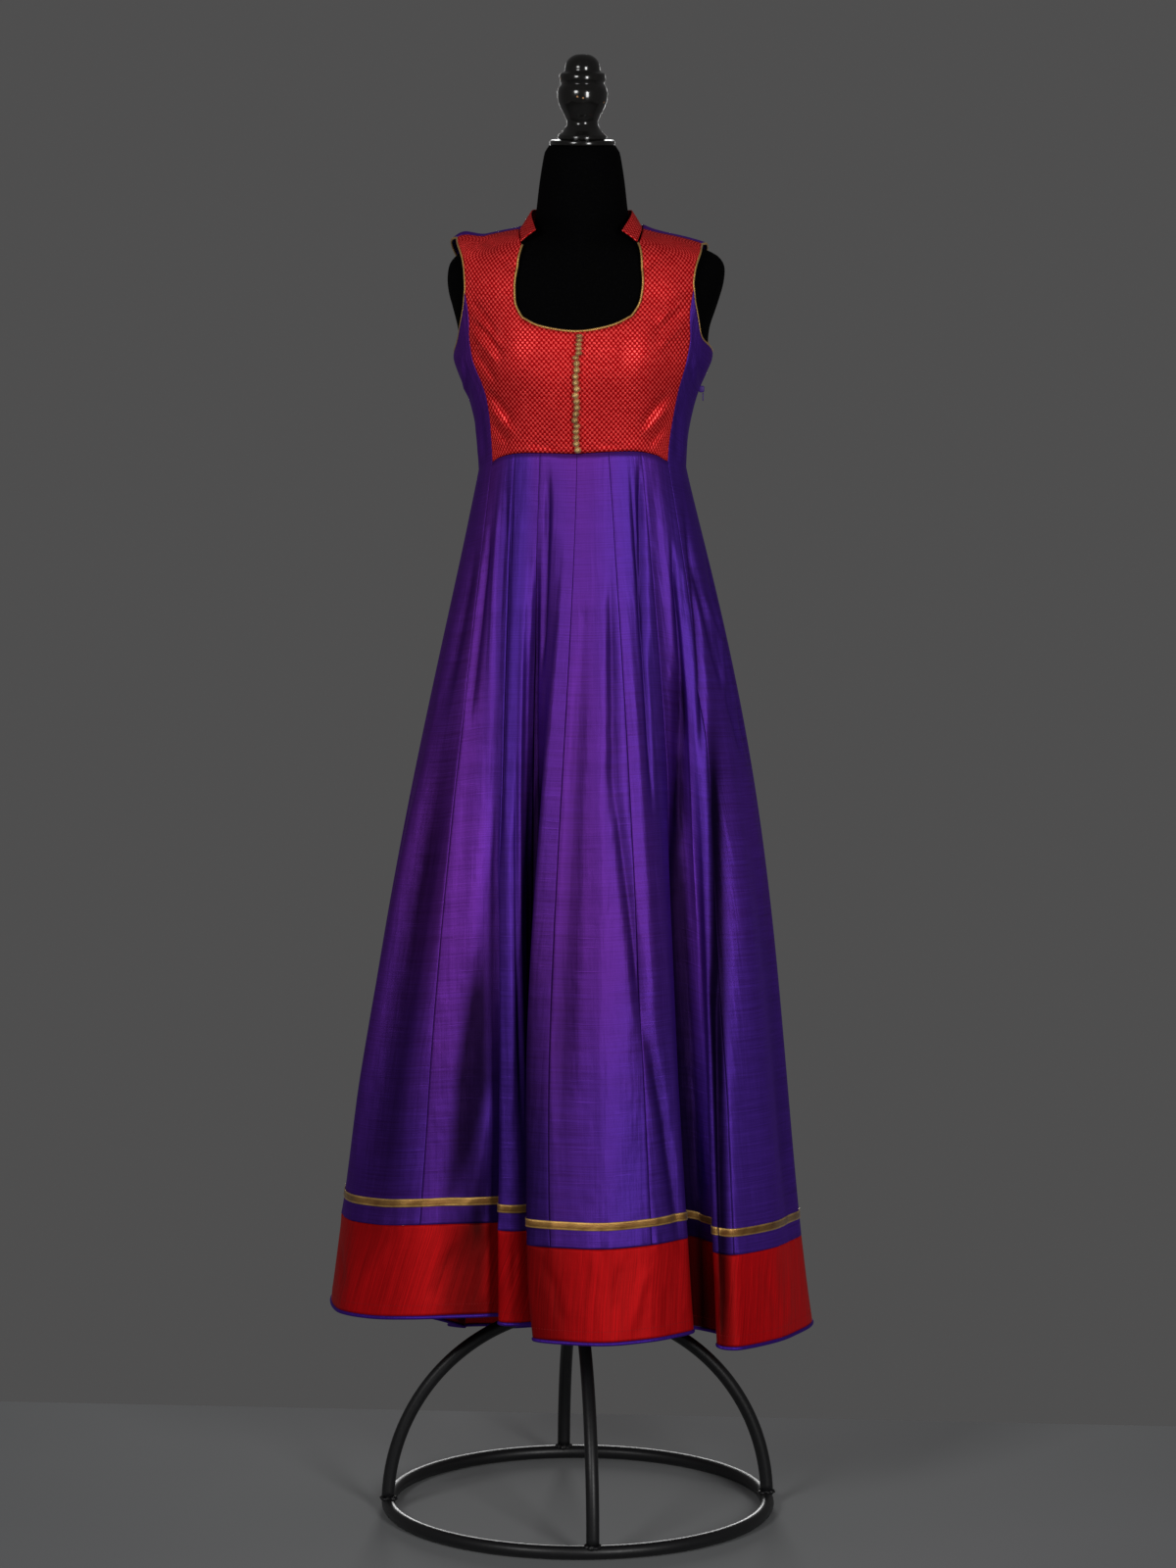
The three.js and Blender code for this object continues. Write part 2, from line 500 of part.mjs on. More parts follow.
// The four princess seams by the number of the waist seam that they end at.
const CORNERS = {
  1: { side: -1, armhole: ARMHOLE_FRONT, princess: PRINCESS_FRONT, place: alongFront },
  7: { side: 1, armhole: ARMHOLE_FRONT, princess: PRINCESS_FRONT, place: alongFront },
  9: { side: 1, armhole: ARMHOLE_BACK, princess: PRINCESS_BACK, place: alongBack },
  15: { side: -1, armhole: ARMHOLE_BACK, princess: PRINCESS_BACK, place: alongBack },
};

// The armhole from the shoulder tip to the princess seam, then that seam.
function armEdge(corner) {
  const { side, armhole, princess, place } = CORNERS[corner];
  const upper = armhole.filter((row) => row.z > princess[0].z);
  const tip = onShoulder(fromMidline(SHOULDER_TIP, side));
  return spread([tip, ...place([...upper, princess[0]], side)], ARM_STEPS + 1).map(ontoCloth);
}
function princessSeam(corner) {
  const { side, princess, place } = CORNERS[corner];
  return spread([...place(princess, side), onWaist(WAIST_SEAMS[corner])], SIDE_ROWS);
}
const outsideEdge = (corner) => [...armEdge(corner).slice(0, -1), ...princessSeam(corner)];

// Rows of points from one edge to another, all on the cloth.
function ruled(fromEdge, toEdge, rows) {
  return range(rows).map((i) => fromEdge.map(
    (p, j) => ontoCloth(p.clone().lerp(toEdge[j], i / (rows - 1)))));
}

const waistLine = (from, to, count) => range(count).map(
  (i) => onWaist(mix(from, to, i / (count - 1))));

// Line where the collar is sewn on, from one front end round to the other.
function collarFoot() {
  const half = [
    onFront(NECKLINE.at(-1).right, NECKLINE.at(-1).z), onShoulder(NECK_POINT),
    ...COLLAR_FOOT.map((row) => ontoCloth(vec(row.x, row.y, row.z)))];
  const other = half.slice(0, -1).map((p) => ontoCloth(vec(-p.x, p.y, p.z)));
  return [...half, ...other.reverse()];
}

// Front yoke: a U between the neckline and the outside edge.
function yokeFront() {
  const sideLine = NECKLINE.slice(3).reverse();
  const neckSide = (side) => [
    ...spread([onShoulder(side * NECK_POINT), ...alongFront([sideLine[0]], side)], COLLAR_END + 1),
    ...spread(alongFront(sideLine, side), ARM_STEPS + SIDE_ROWS - COLLAR_END).slice(1)];
  const scoop = [
    ...alongFront(NECKLINE.slice(1, 4).reverse(), -1), ...alongFront(NECKLINE.slice(0, 4), 1)];
  const base = spread(scoop, WAIST_STEPS + 1).slice(1, -1);
  const inside = [...neckSide(-1), ...base, ...neckSide(1).reverse()];
  const outside = [
    ...outsideEdge(1),
    ...waistLine(WAIST_SEAMS[1], WAIST_SEAMS[7], WAIST_STEPS + 1).slice(1, -1),
    ...outsideEdge(7).reverse()];
  return bodiceGrid(trimmed(ruled(inside, outside, FRONT_ROWS)));
}

// Back of the bodice: a U between the collar's foot and the outside edge.
function yokeBack() {
  const columns = 2 * (ARM_STEPS + SIDE_ROWS) + WAIST_STEPS - 1;
  const inside = spread(collarFoot().slice(1, -1), columns);
  const outside = [
    ...outsideEdge(9),
    ...waistLine(WAIST_SEAMS[9], WAIST_SEAMS[15], WAIST_STEPS + 1).slice(1, -1),
    ...outsideEdge(15).reverse()];
  return bodiceGrid(trimmed(ruled(inside, outside, BACK_ROWS)));
}

// The part of a side panel above the waist: a patch between four edges.
function sideTop(panel) {
  const seamFirst = panel === 7 || panel === 15;
  const corner = seamFirst ? panel : panel + 1;
  const { side, armhole, princess, place } = CORNERS[corner];
  const lower = armhole.filter((row) => row.z < princess[0].z);
  const sideAngle = side < 0 ? WAIST_SEAMS[0] : WAIST_SEAMS[8];
  const underarm = round(sideAngle, UNDERARM_Z);
  const topEdge = spread([...place([princess[0], ...lower], side), underarm], SIDE_STEPS + 1);
  const seam = princessSeam(corner);
  const flank = range(SIDE_ROWS).map(
    (i) => round(sideAngle, mix(UNDERARM_Z, WAIST.at(-1).z, i / (SIDE_ROWS - 1))));
  const top = seamFirst ? topEdge : topEdge.slice().reverse();
  const [left, right] = seamFirst ? [seam, flank] : [flank, seam];
  const foot = range(SIDE_STEPS + 1).map((j) => skirt(panel + j / SIDE_STEPS, 0));
  return range(SIDE_ROWS).map((i) => top.map((p, j) => {
    const v = i / (SIDE_ROWS - 1);
    const u = j / SIDE_STEPS;
    const across = left[i].clone().lerp(right[i], u);
    const downward = p.clone().lerp(foot[j], v);
    const above = top[0].clone().lerp(top.at(-1), u);
    const below = foot[0].clone().lerp(foot.at(-1), u);
    return across.add(downward).sub(above.lerp(below, v));
  }));
}

// ---------------------------------------------------------------- skirt panels
const stepsOf = (panel) => ([0, 7, 8, 15].includes(panel) ? SIDE_STEPS : GORE_STEPS);
const SKIRT_COLUMNS = range(PANELS).flatMap(
  (panel) => range(stepsOf(panel)).map((j) => panel + j / stepsOf(panel)));

// Levels of a panel at one column, from the waist to the seam of the hem band.
const levelsAt = (at) => [
  ...SKIRT_LEVELS, downAbove(at, BORDER + RIBBON_RISE + RIBBON),
  downAbove(at, BORDER + RIBBON_RISE), downAbove(at, BORDER)];

// Outer and inner points of a piece of skirt from its columns and levels.
function skirtGrid(columns, levels) {
  const rows = levels(columns[0]).length;
  const outer = range(rows).map(() => []);
  const inner = range(rows).map(() => []);
  columns.forEach((at, j) => levels(at).forEach((down, i) => {
    const shift = j === 0 ? SEAM_GAP / 2 : j === columns.length - 1 ? -SEAM_GAP / 2 : 0;
    const own = besideSeam(at, down, shift);
    const p = skirt(own, down);
    outer[i].push(p);
    inner[i].push(p.clone().addScaledVector(skirtNormal(own, down), -WALL));
  }));
  return { outer, inner };
}

const columnsOf = (panel) => range(stepsOf(panel) + 1).map((j) => panel + j / stepsOf(panel));

function gore(panel) {
  return skirtGrid(columnsOf(panel), (at) => levelsAt(at).map((down, i, all) => {
    if (i === 0) return WAIST_GAP / (WAIST.at(-1).z - hemZ(at));
    return i === all.length - 1 ? down - SEAM_GAP / 2 / (WAIST.at(-1).z - hemZ(at)) : down;
  }));
}

function sidePanel(panel) {
  const top = bodiceGrid(trimmed(sideTop(panel)));
  const below = gore(panel);
  const join = (upper, lower) => [...upper.slice(0, -1), ...lower];
  return { outer: join(top.outer, below.outer), inner: join(top.inner, below.inner) };
}

function hemBand(from, to) {
  const twice = [...SKIRT_COLUMNS, ...SKIRT_COLUMNS.map((at) => at + PANELS)];
  const between = twice.filter((at) => at > from && at < to);
  return skirtGrid([from, ...between, to], (at) => {
    const half = SEAM_GAP / 2 / (WAIST.at(-1).z - hemZ(at));
    return [downAbove(at, BORDER) + half, downAbove(at, HEM_PIPING_RADIUS * 2)];
  });
}

// ---------------------------------------------------------------- trims
// Corners of the ribbon's section at one column, laid just off the panel.
function ribbonSection(at) {
  const low = downAbove(at, BORDER + RIBBON_RISE);
  const high = downAbove(at, BORDER + RIBBON_RISE + RIBBON);
  const lift = (down, off) => skirt(at, down).addScaledVector(skirtNormal(at, down), off);
  return [
    lift(high, RIBBON_FACE), lift(low, RIBBON_FACE), lift(low, RIBBON_BACK),
    lift(high, RIBBON_BACK)];
}

// A round section about `centre` across the plane of `u` and `v`.
function disc(centre, u, v, radius, sides) {
  return range(sides).map((k) => centre.clone()
    .addScaledVector(u, radius * Math.cos((2 * Math.PI * k) / sides))
    .addScaledVector(v, radius * Math.sin((2 * Math.PI * k) / sides)));
}

function hemPipingSection(at) {
  const edge = downAbove(at, HEM_PIPING_RADIUS * 2);
  const n = skirtNormal(at, edge);
  const fall = skirt(at, 1).sub(skirt(at, edge)).normalize();
  const centre = skirt(at, edge).addScaledVector(n, -WALL / 2);
  centre.addScaledVector(fall, HEM_PIPING_RADIUS + SEAM_GAP);
  return disc(centre, n, fall, HEM_PIPING_RADIUS, HEM_PIPING_SIDES);
}

// Piping along a cloth edge; `hole(p)` is a point on the open side of the edge.
function piping(edge, hole, closed) {
  const count = edge.length;
  const sections = edge.map((p, i) => {
    const before = edge[closed ? (i + count - 1) % count : Math.max(i - 1, 0)];
    const after = edge[closed ? (i + 1) % count : Math.min(i + 1, count - 1)];
    const along = after.clone().sub(before).normalize();
    const n = p.clone().sub(heart).normalize();
    n.addScaledVector(along, -n.dot(along)).normalize();
    const open = hole(p).sub(p);
    open.addScaledVector(along, -open.dot(along)).addScaledVector(n, -open.dot(n)).normalize();
    const centre = p.clone().addScaledVector(n, -WALL / 2);
    centre.addScaledVector(open, PIPING_RADIUS + SEAM_GAP);
    const turns = n.clone().cross(open).dot(along) > 0;
    const [u, v] = turns ? [n, open] : [open, n];
    return disc(centre, u, v, PIPING_RADIUS, PIPING_SIDES);
  });
  return bar(sections, closed);
}

function armholeEdge(side) {
  const own = side < 0 ? [0, 15, 1, 15] : [7, 8, 7, 9];
  const [frontPanel, backPanel, frontCorner, backCorner] = own;
  const front = armEdge(frontCorner);
  const back = armEdge(backCorner);
  const frontLow = sideTop(frontPanel)[0];
  const backLow = sideTop(backPanel)[0];
  const toUnderarm = side < 0 ? frontLow.slice().reverse() : frontLow;
  const fromUnderarm = side < 0 ? backLow.slice().reverse() : backLow;
  return [
    ...front, ...toUnderarm.slice(1, -1).map(ontoCloth),
    ...fromUnderarm.slice(0, -1).map(ontoCloth), ...back.slice().reverse().slice(0, -1)];
}

// Collar: a strip leaning in from its foot, round the back of the neck.
function collar() {
  const foot = spread(collarFoot(), COLLAR_STEPS);
  const topHalf = COLLAR_TOP.map((row) => vec(row.x, row.y, row.z));
  const otherHalf = topHalf.slice(0, -1).reverse().map((p) => vec(-p.x, p.y, p.z));
  const top = spread([...topHalf, ...otherHalf], COLLAR_STEPS);
  const outer = [0, 1, 2].map((i) => foot.map((p, j) => {
    const out = vec(p.x, p.y, 0).setLength(Math.sin((Math.PI * i) / 2));
    return p.clone().lerp(top[j], mix(COLLAR_START, 1, i / 2)).add(out);
  }));
  const axis = (p) => vec(0, 0, p.z - COLLAR_AIM);
  const inner = outer.map((row) => row.map((p) => p.clone().add(axis(p).sub(p).setLength(WALL))));
  const flip = (rows) => [...rows].reverse();
  return wall(flip(outer), flip(inner));
}

// ---------------------------------------------------------------- hard pieces
// A turned piece from its outline, rows of radius and height up the axis.
function turned(outline, segments) {
  const profile = outline.map(([radius, z]) => new THREE.Vector2(radius, z));
  return new THREE.LatheGeometry(profile, segments).rotateX(Math.PI / 2);
}

function formBody() {
  const sections = FORM_LEVELS.map((z) => range(FORM_SIDES).map(
    (k) => cast(vec(0, 0, z), bearing((360 * k) / FORM_SIDES), -FORM_INSET)));
  return bar(sections, false);
}

// A quarter hoop from the ring up to the sleeve under the pole.
function leg() {
  const foot = Math.asin((RING.tube / 2 + SEAM_GAP * 2) / LEG.arc);
  const head = Math.acos((POLE.sleeve + 4 * SEAM_GAP) / LEG.arc);
  class Hoop extends THREE.Curve {
    getPoint(share) {
      const angle = mix(foot, head, share);
      return vec(LEG.arc * Math.cos(angle), 0, RING.tube / 2 + LEG.rise * Math.sin(angle));
    }
  }
  const circle = disc(vec(0, 0, 0), vec(1, 0, 0), vec(0, 1, 0), LEG.radius, LEG.sides);
  const section = new THREE.Shape(circle);
  return new THREE.ExtrudeGeometry(section, { steps: LEG.steps, extrudePath: new Hoop() });
}

function ringTube() {
  const apothem = RING.tube / 2;
  const corner = apothem / Math.cos(Math.PI / RING.sides);
  const outline = range(RING.sides + 1).map((k) => {
    const angle = ((k % RING.sides) + 0.5) * ((2 * Math.PI) / RING.sides);
    return [RING.radius + corner * Math.cos(angle), apothem + corner * Math.sin(angle)];
  });
  return turned(outline, RING.segments);
}

// ---------------------------------------------------------------- the garment
const clothWall = ({ outer, inner }) => wall(outer, inner);
const front = yokeFront();
add('yoke_front', clothWall(front), BROCADE);
add('yoke_back', clothWall(yokeBack()), SILK);
add('collar', collar(), BROCADE);
add('side_front_left', clothWall(sidePanel(0)), SILK);
add('side_front_right', clothWall(sidePanel(7)), SILK);
add('side_back_right', clothWall(sidePanel(8)), SILK);
add('side_back_left', clothWall(sidePanel(15)), SILK);
range(6).forEach((i) => {
  add(`kali_front_${i + 1}`, clothWall(gore(1 + i)), SILK);
  add(`kali_back_${i + 1}`, clothWall(gore(9 + i)), SILK);
});
HEM_JOINTS.forEach((from, i) => {
  const to = i + 1 < HEM_JOINTS.length ? HEM_JOINTS[i + 1] : HEM_JOINTS[0] + PANELS;
  add(`hem_border_${i + 1}`, clothWall(hemBand(from, to)), RED_SILK);
});
add('ribbon', bar(SKIRT_COLUMNS.map(ribbonSection), true), GOLD);
add('hem_piping', bar(SKIRT_COLUMNS.map(hemPipingSection), true), SILK);

const neckEdge = front.outer[0].slice(COLLAR_END, -COLLAR_END);
const throat = vec(0, -70, 1540);
add('neck_piping', piping(neckEdge, () => throat.clone(), false), GOLD);
for (const [name, side] of [['left', -1], ['right', 1]]) {
  const hole = () => vec(side * 150, 0, 1505);
  add(`armhole_piping_${name}`, piping(armholeEdge(side), hole, true), GOLD);
}

// A button's height is what its neighbours leave it.
function buttonHeight(i) {
  const near = [i - 1, i + 1].filter((k) => k >= 0 && k < BUTTONS.length);
  const pitch = Math.min(...near.map((k) => Math.abs(BUTTONS[k].z - BUTTONS[i].z)));
  return Math.min(BUTTON.height, pitch - BUTTON.gap);
}
BUTTONS.forEach(({ x, z }, i) => {
  const ball = new THREE.SphereGeometry(0.5, BUTTON.around, BUTTON.rings)
    .rotateX(Math.PI / 2).scale(BUTTON.width, BUTTON.width, buttonHeight(i));
  const mesh = add(`button_${String(i + 1).padStart(2, '0')}`, ball, GOLD);
  mesh.position.copy(onFront(x, z)).add(vec(0, -BUTTON.width / 2 - SEAM_GAP, 0));
});

// ---------------------------------------------------------------- the zip's slider
const zipSeat = round(WAIST_SEAMS[8], ZIP_SLIDER.z);
const zipOut = bearing(WAIST_SEAMS[8]);
const placeOnZip = (mesh, off, z) => {
  mesh.position.copy(zipSeat).addScaledVector(zipOut, off).setZ(z);
  mesh.rotation.z = radians(WAIST_SEAMS[8] - 90);
};
// A flat solid of an outline, stood up facing outward.
function plate(shape, depth) {
  const settings = { depth, bevelEnabled: false, curveSegments: TAB.steps };
  return new THREE.ExtrudeGeometry(shape, settings).rotateX(Math.PI / 2).rotateZ(Math.PI / 2);
}
const slider = new THREE.Shape(SLIDER_OUTLINE.map(([x, y]) => new THREE.Vector2(x, y)));
const tab = new THREE.Shape()
  .moveTo(-TAB.head, TAB.top).lineTo(-TAB.half, -TAB.straight)
  .quadraticCurveTo(-TAB.half, -TAB.tip, 0, -TAB.tip)
  .quadraticCurveTo(TAB.half, -TAB.tip, TAB.half, -TAB.straight)
  .lineTo(TAB.head, TAB.top).closePath();
placeOnZip(add('zip_slider', plate(slider, ZIP_SLIDER.depth), ZIP), ZIP_SLIDER.off, ZIP_SLIDER.z);
placeOnZip(add('zip_pull', plate(tab, ZIP_PULL.depth), ZIP), ZIP_PULL.off, ZIP_PULL.z);

// ---------------------------------------------------------------- form and stand
add('form_body', formBody(), JERSEY);
add('neck_cap', turned(NECK_CAP, CAP_SIDES), LACQUER);
add('finial', turned(FINIAL, TURNED_SIDES), LACQUER);
add('pole', turned(POLE_OUTLINE, TURNED_SIDES), IRON);
add('base_ring', ringTube(), IRON);
['right', 'back', 'left', 'front'].forEach((name, i) => {
  add(`leg_${name}`, leg(), IRON).rotation.z = radians(LEG.turn + 90 * i);
});

export default part;
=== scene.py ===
"""A sleeveless anarkali kurti on a limbless form and an iron stand, dressed round the frame.

Tables are in millimetres, +Z up, the wearer facing -Y. Meshes are in metres.
"""

import logging
import math
from dataclasses import dataclass
from enum import Enum
from typing import Any, Callable, Optional, Sequence

import bmesh
import bpy
import numpy as np
from mathutils import Matrix, Vector


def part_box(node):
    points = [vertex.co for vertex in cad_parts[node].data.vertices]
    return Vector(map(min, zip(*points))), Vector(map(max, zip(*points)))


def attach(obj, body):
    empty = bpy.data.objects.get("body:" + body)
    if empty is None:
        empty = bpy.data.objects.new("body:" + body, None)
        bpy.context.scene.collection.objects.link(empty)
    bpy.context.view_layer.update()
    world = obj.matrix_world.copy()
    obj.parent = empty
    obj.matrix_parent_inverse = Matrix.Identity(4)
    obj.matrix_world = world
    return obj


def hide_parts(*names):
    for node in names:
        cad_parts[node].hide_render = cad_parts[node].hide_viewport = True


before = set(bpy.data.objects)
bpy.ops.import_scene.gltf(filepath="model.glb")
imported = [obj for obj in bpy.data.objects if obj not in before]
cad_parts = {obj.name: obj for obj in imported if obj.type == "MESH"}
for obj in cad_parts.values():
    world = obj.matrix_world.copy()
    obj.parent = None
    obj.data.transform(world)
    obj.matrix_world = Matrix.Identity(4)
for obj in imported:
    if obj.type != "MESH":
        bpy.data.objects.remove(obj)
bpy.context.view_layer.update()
LOG = logging.getLogger("kurti")

# ---- short names of types
Array, Mesh = np.ndarray, bmesh.types.BMesh
Piece, Material = bpy.types.Object, bpy.types.Material
Pair, Triple = tuple[float, float], tuple[float, float, float]
Rows = Sequence[Sequence[float]]

MM = 0.001
MERGE = 1e-6        # points closer than this, in metres, become one
FULL_TURN = 2 * math.pi
GARMENT = "stand_and_garment"
PULL = "zip_pull"

# ---- driving sizes, as in the CAD
EASE = 5.0
FORM_INSET = 1.5
HANG = 0.022
TORSO_HEART = 1445.0
TIP_LIFT = 14.0
FORM_TOP = 1681.0
WALL = 1.5
SEAM_GAP = 0.3
WAIST_GAP = 0.6
SIDE = 130.0
UNDERARM_Z = 1431.0
NECK_POINT = 74.5
SHOULDER_TIP = (149.5, 144.5)
SHOULDER_SEAM_LEAN = 12.0
BORDER = 115.0
RIBBON = 10.0
RIBBON_RISE = 22.0
FOLD_GROWTH = 1.2
HEM_HALF = (300.0, 232.0)
PIPING_RADIUS = 1.3
HEM_PIPING_RADIUS = 2.3
PANELS = 16

# z, half width at -X, at +X, depth in front, behind, squareness
FORM = np.array([
    (935, 138.5, 141, 84, 96, 2.2), (955, 147.5, 150, 91, 107, 2.2),
    (1010, 150.5, 154.5, 96, 112, 2.2), (1080, 140, 144.5, 95.5, 103, 2.2),
    (1150, 123.5, 127.5, 91, 90, 2.2), (1215, 114.5, 118, 87, 81.5, 2.2),
    (1293, 119, 122, 88.5, 84, 2.3), (1333, 121.5, 124, 92, 86, 2.3),
    (1362, 126.5, 129.5, 96.5, 88.5, 2.3), (1390, 136, 137.5, 100, 90, 2.3),
    (1409, 144, 145.5, 102, 90, 2.3), (1426, 149.5, 152.5, 102, 90, 2.3),
    (1442, 148, 153.5, 102, 89.5, 2.3), (1465, 151.5, 156, 99.5, 88.5, 2.25),
    (1488, 157.5, 163.5, 94.5, 87, 2.15), (1504, 162, 168.5, 89.5, 85, 2.05),
    (1520, 164, 172.5, 85, 82, 1.95), (1537, 162, 173.5, 79.5, 78, 1.8),
    (1546, 157, 170, 76.5, 76, 1.7), (1553, 149, 163, 74.5, 74.5, 1.6),
    (1559, 141, 151, 73, 73, 1.5), (1564, 132, 137, 71.5, 71.5, 1.4),
    (1569, 117, 117.5, 70, 70, 1.35), (1574, 94, 94.5, 68, 68, 1.25),
    (1579, 71, 77.5, 66, 66, 1.25), (1587, 60.5, 63, 62.5, 62.5, 1.4),
    (1598, 57.5, 58, 59, 59, 1.75), (1610, 56, 56, 56, 56, 2), (1640, 52.5, 52.5, 52.5, 52.5, 2),
    (1668, 48, 48, 48, 48, 2), (1677, 45.5, 45.5, 45.5, 45.5, 2),
    (1681, 41.5, 41.5, 41.5, 41.5, 2),
])
BUST_X, BUST_Z, BUST_RISE, BUST_WIDTH, BUST_HEIGHT = 71.0, 1429.0, 11.0, 46.0, 50.0

# distance from the midline at -X, at +X, height
NECKLINE = [(-2, 2, 1463.8), (24, 27, 1466.4), (48, 50, 1472.3), (65.5, 68, 1481.3),
            (74, 77, 1497), (76, 80, 1516.5), (74, 78.5, 1541), (68.5, 72.5, 1566.5)]
ARMHOLE_FRONT = [(142.5, 144.5, 1557), (138.5, 140.5, 1540.5), (136.5, 137.5, 1518),
                 (138.5, 140.5, 1491), (143, 144.5, 1468), (147.5, 148.5, 1450)]
ARMHOLE_BACK = [(150, 144.5, 1542), (145, 142, 1520), (141, 141, 1494.5),
                (143, 144, 1468.5), (146, 148.5, 1449.5), (149, 152, 1438)]
PRINCESS_FRONT = [(136.8, 138.2, 1510.5), (131.5, 134.5, 1482.5), (130, 135, 1450.5),
                  (124.5, 131, 1425.5), (114.5, 124.5, 1401.5), (107, 117.5, 1371.5),
                  (104.5, 111.5, 1337.5)]
PRINCESS_BACK = [(141.6, 142, 1486.5), (133.5, 133.5, 1457), (124.5, 127.5, 1422.5),
                 (120, 123, 1397.5), (114.5, 117, 1375), (109.5, 112.5, 1347),
                 (106.5, 109, 1317)]
COLLAR_FOOT = [(53, 57, 1577), (0, 75, 1573)]
COLLAR_TOP = [(52, -55, 1583), (61, -3, 1603), (43, 46, 1602), (0, 62, 1601)]

WAIST_SEAMS = (-91, -60, -42, -25, 1, 23, 43.5, 62.5, 91, 120, 139, 158, 180, 202, 221, 240,
               269)
WAIST = [(0, 1318.5), (25, 1320), (42, 1319), (54, 1313), (62, 1305), (91, 1293), (180, 1293)]
WAIST_FOOT = 1293.0
HEM_JOINTS = (3, 6, 11, 15)

# panels round, degrees, reach, height of the hem, belly, shift to +X
FOLDS = np.array([
    (0, -90.5, 308, 259, 8, -9), (0.47, -69.5, 305, 267, 6, -9), (0.73, -58.5, 284, 270, 3, -6),
    (1, -48, 252, 275, 1, -3), (1.4, -37.5, 199, 276, 0, 0), (1.74, -27.5, 159, 274, 0, 0),
    (2, -25.5, 197, 273, 2, 0), (2.3, -17.5, 193, 273, 3, 0), (2.6, -12.5, 172, 272, 3, -9),
    (3, -6, 133, 270, 3, -20), (3.44, -4.5, 190, 270, 4, -26), (3.79, -8.5, 246, 270, 5, -26),
    (4, -2, 258, 270, 6, -16), (4.49, 11.5, 264, 269, 7, -5), (5, 25, 262, 271, 8, 0),
    (5.49, 37.5, 247, 271, 9, 0), (6, 46, 202, 263, 10, 0), (6.24, 55.5, 195, 254, 12, 0),
    (6.44, 56.5, 222, 250, 14, 0), (6.81, 45.5, 252, 248, 16, 0), (7, 50, 273, 247, 18, 0),
    (7.42, 69.5, 279, 243, 21, 0), (8, 95, 291, 234, 25, 0), (8.38, 109, 272, 224, 25, 0),
    (8.62, 117.5, 250, 217, 26, 0), (8.84, 120.5, 203, 215, 25, 0), (9.05, 125.5, 238, 210, 26, 0),
    (9.35, 134, 247, 205, 25, 0), (9.65, 142, 233, 200, 24, 0), (9.92, 144, 195, 199, 24, 0),
    (10.2, 148, 227, 196, 24, 0), (10.5, 155, 241, 189, 24, 0), (10.85, 165, 240, 186, 24, 0),
    (11.1, 169.5, 221, 188, 24, 0), (11.35, 170.5, 189, 189, 24, 0),
    (11.65, 173.5, 224, 188, 24, 0), (12, 181, 250, 174, 24, 0), (12.4, 192, 250, 172, 24, 0),
    (12.7, 198, 230, 176, 24, 0), (12.95, 201.5, 201, 182, 23, 0), (13.25, 205.5, 232, 175, 22, 0),
    (13.55, 211.5, 249, 176, 21, 0), (13.9, 221, 254, 180, 20, 0), (14.15, 228, 237, 188, 18, 0),
    (14.4, 230.5, 200, 194, 16, 0), (14.7, 234, 242, 201, 14, 0), (15, 241.5, 264, 211, 13, 0),
    (15.22, 247, 239, 218, 12, 0), (15.45, 251.5, 283, 224, 8, -6), (15.72, 261, 302, 238, 8, -9),
])

# Creases on the bodice: x and z of both ends, half width, height, sag.
FRONT_CREASES = [
    (-134, 1500, -92, 1452, 4.5, -1.5, 3), (-134, 1488, -86, 1440, 3.6, 1.2, 4),
    (-132, 1476, -84, 1428, 4.2, -1.6, 4), (-131, 1463, -90, 1420, 3.5, 1.2, 3),
    (-127, 1440, -94, 1398, 4, -1.4, 2), (134, 1508, 96, 1470, 5, 1.2, -4),
    (135, 1492, 88, 1452, 4.5, -1.2, -4), (134, 1478, 96, 1440, 4, 1, -3),
    (-112, 1392, -76, 1350, 5, -2, 3), (-108, 1372, -70, 1334, 4, 1.3, 2),
    (-104, 1352, -80, 1326, 3.5, -1.2, 0), (114, 1392, 80, 1346, 5, -2, -3),
    (112, 1374, 76, 1336, 4, 1.3, -2), (108, 1352, 84, 1324, 3.5, -1.3, 0),
    (-60, 1330, -20, 1324, 4, -0.8, 0), (24, 1330, 62, 1325, 4, -0.7, 0),
    (-96, 1552, -60, 1528, 5, -0.8, 2), (100, 1552, 70, 1530, 5, -0.8, -2),
    (-124, 1572, -96, 1560, 5, -1.2, 0), (134, 1430, 138, 1372, 3.2, -1.5, 2),
    (141, 1436, 141, 1378, 3, 1.2, -2), (146, 1432, 144, 1390, 2.6, -1.3, 1),
    (-135, 1428, -131, 1362, 3, -1.4, -2), (-142, 1430, -139, 1376, 3, 1.2, 2),
    (122, 1380, 118, 1300, 3.5, -1.5, 0), (-118, 1378, -113, 1300, 3.5, -1.5, 0),
    (128, 1362, 124, 1296, 3, 1, 0), (-125, 1356, -120, 1296, 3, 1, 0),
]
BACK_CREASES = [
    (-128, 1496, -84, 1452, 5, -1.4, 3), (130, 1500, 84, 1456, 5, -1.4, -3),
    (-122, 1470, -76, 1430, 4.5, 1.1, 3), (124, 1474, 78, 1436, 4.5, 1.1, -3),
    (-70, 1420, 64, 1412, 7, -1.3, 6), (-58, 1396, 72, 1388, 6, 1.2, 5),
    (-76, 1366, 60, 1360, 6.5, -1.5, 7), (-52, 1342, 66, 1336, 5, 1.1, 5),
    (-104, 1400, -84, 1330, 4, -1.2, 2), (106, 1404, 86, 1332, 4, -1.2, -2),
    (-40, 1540, 38, 1538, 7, -0.9, 6), (-96, 1545, -60, 1520, 5, -0.8, 2),
    (96, 1543, 62, 1518, 5, -0.8, -2), (-132, 1430, -128, 1360, 3.2, -1.4, 1),
    (134, 1432, 130, 1362, 3.2, -1.4, -1),
]
